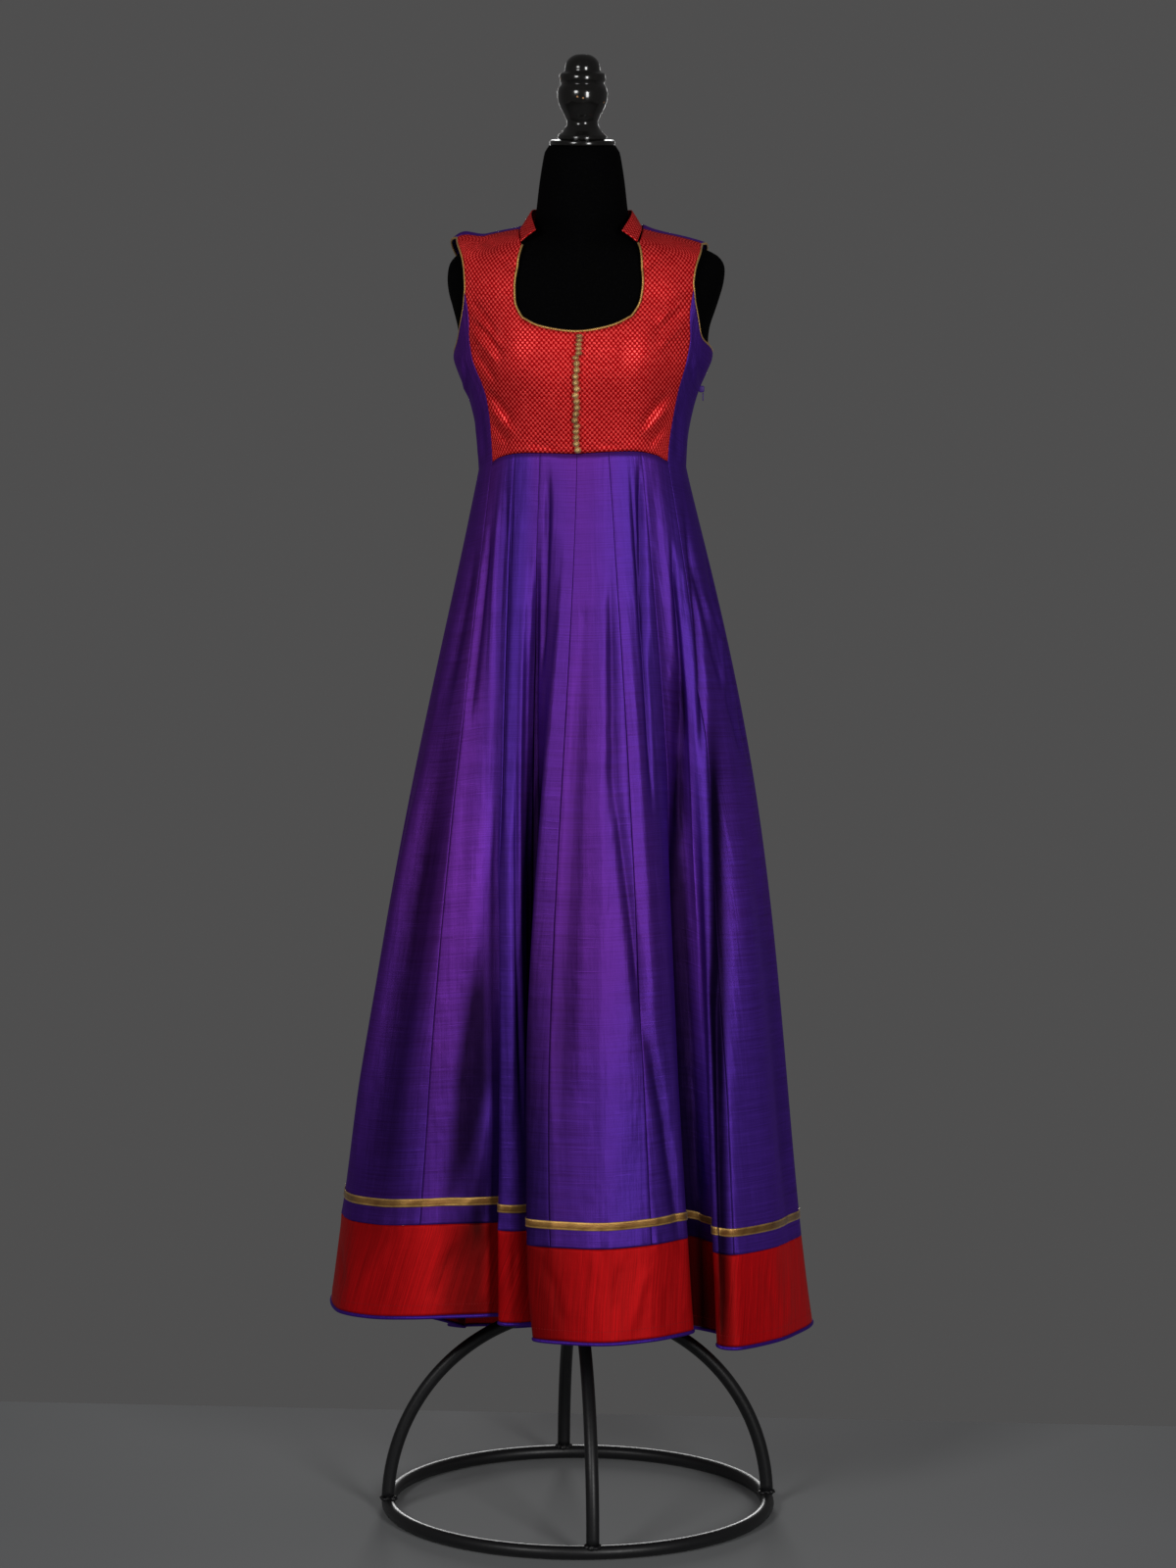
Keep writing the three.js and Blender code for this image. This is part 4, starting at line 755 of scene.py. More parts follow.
class Tree:
    """The node tree of one material."""

    def __init__(self, name: str) -> None:
        """Starts an empty material.

        Args:
            name: the finish's name.
        """
        self.material = bpy.data.materials.new(name)
        self.material.use_nodes = True
        tree = self.material.node_tree
        self.nodes, self.links = tree.nodes, tree.links
        self.nodes.clear()

    def node(self, kind: str, settings: Optional[dict[str, Any]] = None,
             inputs: Optional[dict[Any, Any]] = None) -> Any:
        """A node of any kind.

        Args:
            kind: Blender's type name.
            settings: properties that are set first.
            inputs: values or links of its sockets, by name or number.
        Returns:
            The node.
        """
        made = self.nodes.new(kind)
        for name, value in (settings or {}).items():
            setattr(made, name, value)
        for key, value in (inputs or {}).items():
            if isinstance(value, Signal):
                self.links.new(value.socket, made.inputs[key])
            elif isinstance(value, bpy.types.NodeSocket):
                self.links.new(value, made.inputs[key])
            else:
                made.inputs[key].default_value = value
        return made

    def flat(self) -> Any:
        """The piece's flat cloth coordinates, in metres."""
        return self.node("ShaderNodeUVMap", {"uv_map": "cloth"}).outputs["UV"]

    def place(self) -> Any:
        """The piece's own coordinates, in metres."""
        return self.node("ShaderNodeTexCoord").outputs["Object"]

    def scaled(self, vector: Any, x: float, y: float, z: float = 1.0) -> Any:
        """A vector stretched along its axes."""
        made = self.node("ShaderNodeMapping", None, {"Vector": vector, "Scale": (x, y, z)})
        return made.outputs["Vector"]

    def noise(self, vector: Any, scale: float = 1.0, detail: float = 2.0,
              rough: float = 0.5) -> Signal:
        """Noise from 0 to 1."""
        made = self.node("ShaderNodeTexNoise", None, {
            "Vector": vector, "Scale": scale, "Detail": detail, "Roughness": rough})
        return Signal(self, made.outputs[0])

    def axis(self, vector: Any, which: str) -> Signal:
        """One coordinate of a vector."""
        return Signal(self, self.node("ShaderNodeSeparateXYZ", None, {0: vector}).outputs[which])

    def attribute(self, name: str) -> Signal:
        """A value stored on the piece's points."""
        made = self.node("ShaderNodeAttribute", {"attribute_name": name})
        return Signal(self, made.outputs["Fac"])

    def blend(self, share: Any, first: Any, second: Any) -> Any:
        """A colour between two."""
        made = self.node("ShaderNodeMix", {"data_type": "RGBA"}, {
            0: share, 6: self._colour(first), 7: self._colour(second)})
        return made.outputs[2]

    def shaded(self, colour: Any, strength: Signal) -> Any:
        """A colour made darker or lighter."""
        made = self.node("ShaderNodeVectorMath", {"operation": "SCALE"},
                         {0: colour, "Scale": strength})
        return made.outputs[0]

    def bump(self, height: Signal, distance: float, strength: float = 0.6) -> Any:
        """A normal from a height."""
        made = self.node("ShaderNodeBump", None, {
            "Height": height, "Distance": distance, "Strength": strength})
        return made.outputs["Normal"]

    def surface(self, inputs: dict[str, Any]) -> Material:
        """Ends the tree in a Principled shader.

        Args:
            inputs: values or links of the shader's sockets.
        Returns:
            The finished material.
        """
        shader = self.node("ShaderNodeBsdfPrincipled", None, inputs)
        self.node("ShaderNodeOutputMaterial", None, {"Surface": shader.outputs[0]})
        return self.material

    @staticmethod
    def _colour(value: Any) -> Any:
        """A colour with its alpha, or the link itself."""
        return (*value, 1.0) if isinstance(value, tuple) and len(value) == 3 else value


class Grain(Enum):
    """Which way the slubs of a silk run, as noise scales along and across the piece."""

    ACROSS = (9.0, 640.0)
    DOWN = (640.0, 9.0)


@dataclass(frozen=True)
class SlubSilk:
    """Plain woven silk with uneven threads, its colour shifting with the warp."""

    name: str
    first: Triple
    second: Triple
    sheen: Triple
    gloss: Triple
    grain: Grain
    roughness: float = 0.45
    contrast: float = 1.25
    metallic: float = 0.6
    # share by which the stored painted shade darkens the silk's colour
    fold_shade: float = 0.90
    thread: float = 0.0006
    bump: Pair = (0.00022, 0.8)

    def build(self) -> Material:
        """The material."""
        tree = Tree(self.name)
        flat = tree.flat()
        long, short = self.grain.value
        slub = tree.noise(tree.scaled(flat, long, short), 1.0, 3.0, 0.6)
        lots = tree.noise(tree.scaled(flat, long * 0.25, short * 0.06), 1.0, 2.0)
        thick = tree.noise(tree.scaled(flat, long * 2.2, short * 0.55), 1.0, 1.0)
        thick = thick.between(0.62, 0.78)
        cross = tree.noise(tree.scaled(flat, short * 1.6, long * 3.0), 1.0, 2.0)
        cloud = tree.noise(tree.scaled(flat, 5.0, 2.2), 1.0, 2.0)
        weave = self._weave(tree, flat)
        turn = tree.attribute("shot") + (cloud - 0.5) * 0.9 + (slub - 0.5) * 0.5
        colour = tree.blend(turn.between(0.0, 1.0), self.first, self.second)
        drape = tree.noise(tree.scaled(flat, 60.0, 4.0), 1.0, 3.0, 0.6)
        tone = (1.0 + (slub - 0.5) * self.contrast + (lots - 0.5) * 0.3
                + thick * 0.22 + (cross - 0.5) * 0.2 + (weave - 0.5) * 0.1)
        # painted shade darkens folds and creases; below 0 it is painted light instead
        tone = tone * (1.0 - tree.attribute("painted_shading") * self.fold_shade)
        crush = tree.noise(tree.scaled(flat, 26.0, 18.0), 1.0, 2.0, 0.5)
        height = (slub * 0.5 + thick * 0.6 + cross * 0.25 + weave * 0.25 + drape * 8.0
                  + crush * 14.0)
        return tree.surface({
            "Base Color": tree.shaded(colour, tone),
            "Roughness": self.roughness + (slub - 0.5) * 0.16,
            "Metallic": self.metallic,
            "Specular IOR Level": 0.3,
            "Specular Tint": (*self.gloss, 1.0),
            "Sheen Weight": 0.05,
            "Sheen Roughness": 0.4,
            "Sheen Tint": (*self.sheen, 1.0),
            "Normal": tree.bump(height, *self.bump),
        })

    def _weave(self, tree: Tree, flat: Any) -> Signal:
        """The over and under of the threads, 0 to 1."""
        pitch = FULL_TURN / self.thread
        over = (tree.axis(flat, "X") * pitch).cosine() * (tree.axis(flat, "Y") * pitch).cosine()
        return over * 0.5 + 0.5


@dataclass(frozen=True)
class Brocade:
    """Small bright lozenges laid like bricks on dark red."""

    name: str = "red_brocade_weave"
    ground: Triple = (0.50, 0.002, 0.006)
    figure: Triple = (1.0, 0.070, 0.065)
    width: float = 0.0057
    height: float = 0.0032

    def build(self) -> Material:
        """The material."""
        tree = Tree(self.name)
        flat = tree.flat()
        wobble = (tree.noise(flat, 160.0, 2.0) - 0.5) * 0.0009
        x = (tree.axis(flat, "X") + wobble) * (FULL_TURN / self.width)
        y = (tree.axis(flat, "Y") + wobble * 0.6) * (math.pi / self.height)
        lattice = x.cosine() * y.cosine()
        shade = tree.noise(tree.scaled(flat, 90.0, 260.0), 1.0, 2.0)
        wear = tree.noise(flat, 22.0, 2.0)
        thread = tree.noise(tree.scaled(flat, 120.0, 2400.0), 1.0, 2.0)
        figure = (lattice + (shade - 0.5) * 0.9).between(-0.30, 0.55)
        tone = 0.95 + (thread - 0.5) * 0.6 + (wear - 0.5) * 0.4 + figure * 0.4
        colour = tree.blend(figure, self.ground, self.figure)
        return tree.surface({
            "Base Color": tree.shaded(colour, tone),
            "Roughness": 0.50 - figure * 0.16,
            "Metallic": 0.4,
            "Specular IOR Level": 0.2,
            "Specular Tint": (1.0, 0.20, 0.16, 1.0),
            "Sheen Weight": 0.03,
            "Sheen Roughness": 0.4,
            "Sheen Tint": (1.0, 0.20, 0.18, 1.0),
            "Normal": tree.bump(figure + thread * 0.25, 0.00045, 0.8),
        })


@dataclass(frozen=True)
class GoldTissue:
    """Dull gold tissue, with a ribbed middle where it is a ribbon."""

    name: str
    light: Triple = (1.0, 0.60, 0.16)
    dark: Triple = (0.22, 0.085, 0.015)
    ribbed: bool = False
    pitch: float = 0.0011
    rib_edge: Pair = (0.0026, 0.0038)

    def build(self) -> Material:
        """The material."""
        tree = Tree(self.name)
        flat = tree.flat()
        speck = tree.noise(tree.scaled(flat, 900.0, 1300.0), 1.0, 2.0)
        patch = tree.noise(tree.scaled(flat, 45.0, 60.0), 1.0, 2.0)
        x, y = tree.axis(flat, "X"), tree.axis(flat, "Y")
        twist = ((x + y * 0.8) * (FULL_TURN / self.pitch)).cosine() * 0.5 + 0.5
        share = twist * 0.45 + speck * 0.55 + (patch - 0.5)
        if self.ribbed:
            middle = 1.0 - (y - RIBBON * MM / 2).size().between(*self.rib_edge)
            share = share.between(0.3, 0.75) * (1.0 - middle * 0.62) + 0.22 - middle * 0.2
        colour = tree.blend(share.between(0.0, 0.9), self.dark, self.light)
        return tree.surface({
            "Base Color": colour,
            "Roughness": 0.46 - speck * 0.2,
            "Metallic": 0.6,
            "Sheen Weight": 0.15,
            "Normal": tree.bump(twist * 0.6 + speck * 0.7, 0.00025, 0.7),
        })


@dataclass(frozen=True)
class Jersey:
    """Matte black knit stretched over the form."""

    name: str = "black_jersey_knit"
    stitch: Pair = (0.0012, 0.0009)

    def build(self) -> Material:
        """The material."""
        tree = Tree(self.name)
        flat = tree.flat()
        across, up = ((tree.axis(flat, axis) * (FULL_TURN / size)).cosine()
                      for axis, size in zip("XY", self.stitch))
        knit = across * up
        fluff = tree.noise(tree.place(), 420.0, 3.0)
        colour = tree.blend(fluff.between(0.45, 0.8), (0.0006, 0.0006, 0.0008),
                            (0.0020, 0.0020, 0.0024))
        return tree.surface({
            "Base Color": colour, "Roughness": 0.88 + (fluff - 0.5) * 0.1,
            "Specular IOR Level": 0.05,
            "Normal": tree.bump(knit * 0.4 + fluff, 0.0002, 0.4),
        })


@dataclass(frozen=True)
class Lacquer:
    """Gloss black lacquer with a few chips down to the wood."""

    name: str = "black_lacquer_gloss"
    chips: tuple[tuple[float, float, float, float], ...] = (
        (-0.0245, -0.0100, 1.7615, 0.0016), (-0.0040, -0.0290, 1.7400, 0.0014),
        (0.0030, -0.0292, 1.7385, 0.0012), (0.0262, -0.0110, 1.7330, 0.0011))

    def build(self) -> Material:
        """The material."""
        tree = Tree(self.name)
        place = tree.place()
        ragged = tree.noise(place, 900.0, 3.0) - 0.5
        worn = None
        for x, y, z, size in self.chips:
            far = tree.node("ShaderNodeVectorMath", {"operation": "DISTANCE"},
                            {0: place, 1: (x, y, z)}).outputs["Value"]
            spot = 1.0 - (Signal(tree, far) / size + ragged * 1.2).between(0.8, 1.1)
            worn = spot if worn is None else worn + spot
        worn = worn.between(0.0, 1.0)
        wood = tree.blend(tree.noise(place, 1500.0), (0.42, 0.16, 0.035), (0.55, 0.30, 0.12))
        dust = tree.noise(place, 260.0, 3.0)
        black = tree.blend(dust.between(0.55, 0.9), (0.006, 0.0055, 0.005), (0.016, 0.014, 0.012))
        ripple = tree.noise(place, 55.0, 2.0)
        return tree.surface({
            "Base Color": tree.blend(worn, black, wood),
            "Roughness": 0.13 + dust * 0.08 + worn * 0.4,
            "Coat Weight": 0.6, "Coat Roughness": 0.05,
            "Normal": tree.bump(ripple - worn * 0.4, 0.0005, 0.3),
        })


@dataclass(frozen=True)
class PaintedIron:
    """Satin black paint on bent iron tube, thin at the welds."""

    name: str = "black_iron_satin"

    def build(self) -> Material:
        """The material."""
        tree = Tree(self.name)
        place = tree.place()
        peel = tree.noise(place, 260.0, 3.0)
        scuff = tree.noise(tree.scaled(place, 60.0, 60.0, 200.0), 1.0, 4.0, 0.65)
        worn = scuff.between(0.70, 0.78)
        colour = tree.blend(worn, (0.0075, 0.0075, 0.0085), (0.045, 0.043, 0.041))
        return tree.surface({
            "Base Color": colour, "Roughness": 0.36 + peel * 0.16 - worn * 0.08,
            "Metallic": worn * 0.5, "Coat Weight": 0.15, "Coat Roughness": 0.3,
            "Normal": tree.bump(peel + scuff * 0.5, 0.0004, 0.35),
        })


@dataclass(frozen=True)
class Enamel:
    """One faintly mottled colour, for the zip's enamel and for thread."""

    name: str
    colour: Triple = (0.10, 0.035, 0.30)

    def build(self) -> Material:
        """The material."""
        tree = Tree(self.name)
        grain = tree.noise(tree.place(), 2200.0, 2.0)
        colour = tree.blend(grain.between(0.3, 0.8), self.colour,
                            tuple(c * 0.7 for c in self.colour))
        return tree.surface({
            "Base Color": colour, "Roughness": 0.48 + grain * 0.12,
            "Normal": tree.bump(grain, 0.0001, 0.3),
        })


@dataclass(frozen=True)
class Studio:
    """Plain matte sheet of the floor."""

    name: str = "pale_floor"

    def build(self) -> Material:
        """The material."""
        tree = Tree(self.name)
        soft = tree.noise(tree.place(), 1.3, 3.0)
        colour = tree.blend(soft, (0.270, 0.277, 0.282), (0.320, 0.328, 0.334))
        return tree.surface({"Base Color": colour, "Roughness": 0.85})


PURPLE = SlubSilk("purple_silk_cloth", (0.140, 0.025, 0.300), (0.082, 0.026, 0.330),
                  (0.36, 0.10, 1.0), (0.60, 0.25, 1.0), Grain.ACROSS)
PIPING_SILK = SlubSilk("purple_piping_silk", (0.09, 0.02, 0.36), (0.06, 0.02, 0.38),
                       (0.42, 0.22, 1.0), (0.72, 0.45, 1.0), Grain.DOWN)
RED = SlubSilk("red_silk_cloth", (0.66, 0.007, 0.010), (0.52, 0.003, 0.006),
               (1.0, 0.10, 0.08), (1.0, 0.25, 0.2), Grain.DOWN, 0.50, 1.6, 0.3)


class Wardrobe:
    """Makes each finish once, by its name, and hands it out."""

    def __init__(self) -> None:
        """Starts empty."""
        self.made: dict[str, Material] = {}

    def get(self, finish: Any) -> Material:
        """The material of a finish."""
        if finish.name not in self.made:
            self.made[finish.name] = finish.build()
        return self.made[finish.name]


WARDROBE = Wardrobe()


# ---- meshes
def settle(piece: Piece, finish: Any, replaced: Sequence[str],
           body: str = GARMENT) -> Piece:
    """Gives a piece its finish, slot, body and the solids that it stands for.

    Args:
        piece: the finished piece.
        finish: one of the finishes.
        replaced: CAD nodes that it stands for.
        body: the CAD body that it rides on.
    Returns:
        The piece.
    """
    piece.data.materials.clear()
    piece.data.materials.append(WARDROBE.get(finish))
    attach(piece, body)
    if replaced:
        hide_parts(*replaced)
    return piece


def sealed(mesh: Mesh) -> Mesh:
    """The same mesh with its doubles merged and its faces turned outward."""
    bmesh.ops.remove_doubles(mesh, verts=mesh.verts, dist=MERGE)
    bmesh.ops.recalc_face_normals(mesh, faces=mesh.faces)
    return mesh


def object_from(name: str, mesh: Mesh, soft: bool = True) -> Piece:
    """Makes an object at the origin.

    Args:
        name: the object's name.
        mesh: its shape in metres, which is freed.
        soft: whether it is shaded smooth.
    Returns:
        The object.
    """
    data = bpy.data.meshes.new(name)
    mesh.to_mesh(data)
    mesh.free()
    data.polygons.foreach_set("use_smooth", [soft] * len(data.polygons))
    made = bpy.data.objects.new(name, data)
    bpy.context.scene.collection.objects.link(made)
    return made


def mapped(name: str, points: Array, flat: Array, closed: bool = False,
           shot: Optional[Array] = None, painted_shading: Optional[Array] = None) -> Piece:
    """A grid of cloth laid through points.

    Args:
        name: the object's name.
        points: rows and columns of points in millimetres; rows run downward
            and columns towards +X in front, so that it faces outward.
        flat: the same rows and columns of flat coordinates in metres.
        closed: whether its edges meet, so that doubles are merged.
        shot: how far each point's silk turns to its second colour.
        painted_shading: painted shade of each point, and painted light below 0.
    Returns:
        The object.
    """
    rows, columns = points.shape[:2]
    mesh = bmesh.new()
    bmesh.ops.create_grid(mesh, x_segments=columns - 1, y_segments=rows - 1, size=0.5)
    made = object_from(name, mesh)
    data = made.data
    place = np.zeros(len(data.vertices) * 3)
    data.vertices.foreach_get("co", place)
    place = place.reshape(-1, 3)
    i = np.rint((0.5 - place[:, 1]) * (rows - 1)).astype(int)
    j = np.rint((place[:, 0] + 0.5) * (columns - 1)).astype(int)
    data.vertices.foreach_set("co", (points[i, j] * MM).ravel())
    corner = np.zeros(len(data.loops), int)
    data.loops.foreach_get("vertex_index", corner)
    layer = data.uv_layers.new(name="cloth")
    layer.data.foreach_set("uv", flat[i[corner], j[corner]].ravel())
    # stores the silk's shot and its painted shade, with painted light below 0, on the points
    for kind, rows_of, plain in (("shot", shot, 0.5), ("painted_shading", painted_shading, 0.0)):
        tone = data.attributes.new(kind, "FLOAT", "POINT")
        tone.data.foreach_set("value", np.full(len(i), plain) if rows_of is None
                              else rows_of[i, j])
    if closed:
        mesh = bmesh.new()
        mesh.from_mesh(data)
        sealed(mesh).to_mesh(data)
        mesh.free()
    data.update()
    return made


def walled(piece: Piece, thickness: float = 1.1) -> Piece:
    """Gives a sheet its thickness, on the inside.

    Args:
        piece: the sheet.
        thickness: millimetres.
    Returns:
        The piece.
    """
    wall = piece.modifiers.new("wall", "SOLIDIFY")
    wall.thickness, wall.offset = thickness * MM, -1.0
    wall.use_even_offset = False
    return piece


def runs(points: Array) -> tuple[Array, Array]:
    """Measures a grid along its rows and columns.

    Args:
        points: the grid.
    Returns:
        Distances from its first column and from its first row, in millimetres.
    """
    across = np.linalg.norm(np.diff(points, axis=1), axis=2)
    fall = np.linalg.norm(np.diff(points, axis=0), axis=2)
    zero_a, zero_f = np.zeros((points.shape[0], 1)), np.zeros((1, points.shape[1]))
    return (np.hstack([zero_a, np.cumsum(across, axis=1)]),
            np.vstack([zero_f, np.cumsum(fall, axis=0)]))


def unrolled(points: Array) -> Array:
    """Flat coordinates of a piece measured from its first row and column, in metres."""
    across, fall = runs(points)
    return np.stack([across, -fall], -1) * MM


def trapezoid(points: Array) -> Array:
    """Lays a panel flat on its centre line.

    Args:
        points: its grid.
    Returns:
        Flat coordinates, in metres.
    """
    across, fall = runs(points)
    middle = points.shape[1] // 2
    x = across - across[:, middle:middle + 1]
    y = np.broadcast_to(fall[:, middle:middle + 1], x.shape)
    return np.stack([x, -y], -1) * MM


def grooved(points: Array, groove: Pair, edges: str) -> Array:
    """A grid with its edges turned in, as where it is sewn.

    Args:
        points: the grid.
        groove: how far an edge goes in, and how far from the edge that reaches,
            in millimetres.
        edges: letters of the edges, of l, r, t and b.
    Returns:
        The grid moved.
    """
    depth, width = groove
    across, fall = runs(points)
    away = {"l": across, "r": across[:, -1:] - across, "t": fall, "b": fall[-1:] - fall}
    inward = sum(np.exp(-(away[edge] / width) ** 2) for edge in edges)
    normal = unit(np.cross(np.gradient(points, axis=0), np.gradient(points, axis=1)))
    return points - normal * (depth * np.minimum(inward, 1.0))[..., None]


def eased(count: int) -> Array:
    """Shares from 0 to 1, closer together near both ends."""
    even = np.linspace(0, 1, count)
    return mix(even, (1 - np.cos(math.pi * even)) / 2, 0.55)


def tube(name: str, centre: Array, u: Array, v: Array, radius: Any,
         closed: bool, sides: int = 12) -> Piece:
    """A round cord along a line.

    Args:
        name: the object's name.
        centre: points of its middle, in millimetres.
        u: a direction across it at each point.
        v: the other direction across it.
        radius: its radius, or one for each point.
        closed: whether the line runs back into its start.
        sides: faces round it.
    Returns:
        The object.
    """
    if closed:
        centre, u, v = (np.vstack([a, a[:1]]) for a in (centre, u, v))
    size = np.broadcast_to(np.asarray(radius, float), (len(centre),))
    if not closed:
        centre, u, v = (np.vstack([a[:1], a, a[-1:]]) for a in (centre, u, v))
        size = np.concatenate([[0.0], size, [0.0]])
    turn = np.linspace(0, FULL_TURN, sides + 1)[:, None, None]
    ring = (u[None] * np.cos(turn) + v[None] * np.sin(turn)) * size[None, :, None]
    points = centre[None] + ring
    round_it = np.linspace(0, FULL_TURN * float(size.max()) * MM, sides + 1)
    flat = np.stack(np.meshgrid(run_length(centre) * MM, round_it), -1)
    return mapped(name, points, flat, closed=True)


def turned(name: str, outline: Rows, steps: int = 96, finer: int = 0) -> Piece:
    """A turned piece from rows of radius and height, in millimetres.

    Args:
        name: the object's name.
        outline: radius and height up the profile, from the axis to the axis.
        steps: faces round it.
        finer: points of a smooth profile, or 0 for the rows as they are.
    Returns:
        The object.
    """
    rows = np.array([(r, 0.0, z) for r, z in outline], float)
    if finer:
        rows = Path(rows).spread(finer)
        rows[:, 0] = np.maximum(rows[:, 0], 0.0)
    mesh = bmesh.new()
    line = [mesh.verts.new(Vector(row) * MM) for row in rows]
    edges = [mesh.edges.new(pair) for pair in zip(line, line[1:])]
    bmesh.ops.spin(mesh, geom=line + edges, cent=(0, 0, 0), axis=(0, 0, 1),
                   angle=FULL_TURN, steps=steps, use_merge=True)
    return object_from(name, sealed(mesh))


# ---- bodice
class Side(Enum):
    """Which half of the garment, and which column of the tables."""

    LEFT = (-1, 0)
    RIGHT = (1, 1)

    def x(self, row: Sequence[float]) -> float:
        """Signed distance from the midline of a table's row."""
        return self.value[0] * row[self.value[1]]

    def seam_angle(self) -> float:
        """Angle of the side seam, in degrees."""
        return float(WAIST_SEAMS[self.value[1] * PANELS // 2])


@dataclass
class Corner:
    """Where an armhole and a princess seam come down to the waist."""

    seam: int
    side: Side
    way: float
    armhole: list[Triple]
    princess: list[Triple]

    def place(self, rows: Rows) -> Array:
        """Rows of a table on the cloth."""
        xs = np.array([self.side.x(row) for row in rows])
        return TORSO.facing(xs, np.array([row[2] for row in rows]), self.way)

    def arm(self, count: int) -> Array:
        """The armhole from the shoulder tip to the princess seam.

        Args:
            count: how many points are wanted.
        Returns:
            The points.
        """
        upper = [row for row in self.armhole if row[2] > self.princess[0][2]]
        tip = TORSO.shoulder(self.side.x(SHOULDER_TIP))
        line = np.vstack([tip, self.place([*upper, self.princess[0]])])
        return TORSO.onto(Path(line).spread(count))

    def seam_line(self, count: int) -> Array:
        """The princess seam down to the waist."""
        foot = SKIRT.waist(float(self.seam))
        return Path(np.vstack([self.place(self.princess), foot])).spread(count)

    def underarm(self) -> Array:
        """Points of the armhole below the princess seam, to the side seam."""
        lower = [row for row in self.armhole if row[2] < self.princess[0][2]]
        return np.vstack([self.place([self.princess[0], *lower]),
                          TORSO.round(self.side.seam_angle(), UNDERARM_Z)])


CORNERS = {
    1: Corner(1, Side.LEFT, -1.0, ARMHOLE_FRONT, PRINCESS_FRONT),
    7: Corner(7, Side.RIGHT, -1.0, ARMHOLE_FRONT, PRINCESS_FRONT),
    9: Corner(9, Side.RIGHT, 1.0, ARMHOLE_BACK, PRINCESS_BACK),
    15: Corner(15, Side.LEFT, 1.0, ARMHOLE_BACK, PRINCESS_BACK),
}


def collar_foot() -> Array:
    """The line where the collar is sewn on, from +X round the back to -X."""
    start = TORSO.facing(NECKLINE[-1][1], NECKLINE[-1][2], -1.0)
    half = [start, TORSO.shoulder(NECK_POINT)]
    half += [TORSO.onto(np.array(row, float)) for row in COLLAR_FOOT]
    other = [TORSO.onto(p * np.array([-1, 1, 1])) for p in half[:-1]]
    return np.array(half + other[::-1])


class ChestGrain:
    """Flat coordinates of cloth on the chest or the back, from its middle."""

    X = np.linspace(-185, 185, 111)
    TILT = np.radians(np.linspace(-72, 112, 93))

    def __init__(self, way: float) -> None:
        """Measures the cloth.

        Args:
            way: -1 for the chest, 1 for the back.
        """
        x, tilt = np.meshgrid(self.X, self.TILT)
        aim = vec(0.0, way * np.cos(tilt), np.sin(tilt))
        p = TORSO.cast(vec(x, 0, TORSO_HEART), aim)
        across, fall = runs(p)
        middle, level = len(self.X) // 2, int(np.argmin(np.abs(self.TILT)))
        self.across = across - across[:, middle:middle + 1]
        self.rise = fall - fall[level:level + 1]

    def flat(self, p: Array) -> Array:
        """Reads the cloth's flat coordinates.

        Args:
            p: points on the cloth, in millimetres.
        Returns:
            Flat coordinates in metres.
        """
        tilt = np.arctan2(p[..., 2] - TORSO_HEART, np.abs(p[..., 1]))
        column = np.interp(p[..., 0], self.X, np.arange(len(self.X)))
        row = np.interp(tilt, self.TILT, np.arange(len(self.TILT)))
        i = np.clip(row.astype(int), 0, len(self.TILT) - 2)
        j = np.clip(column.astype(int), 0, len(self.X) - 2)
        u, v = column - j, row - i
        out = []
        for table in (self.across, self.rise):
            top = mix(table[i, j], table[i, j + 1], u)
            low = mix(table[i + 1, j], table[i + 1, j + 1], u)
            out.append(mix(top, low, v))
        return np.stack(out, -1) * MM


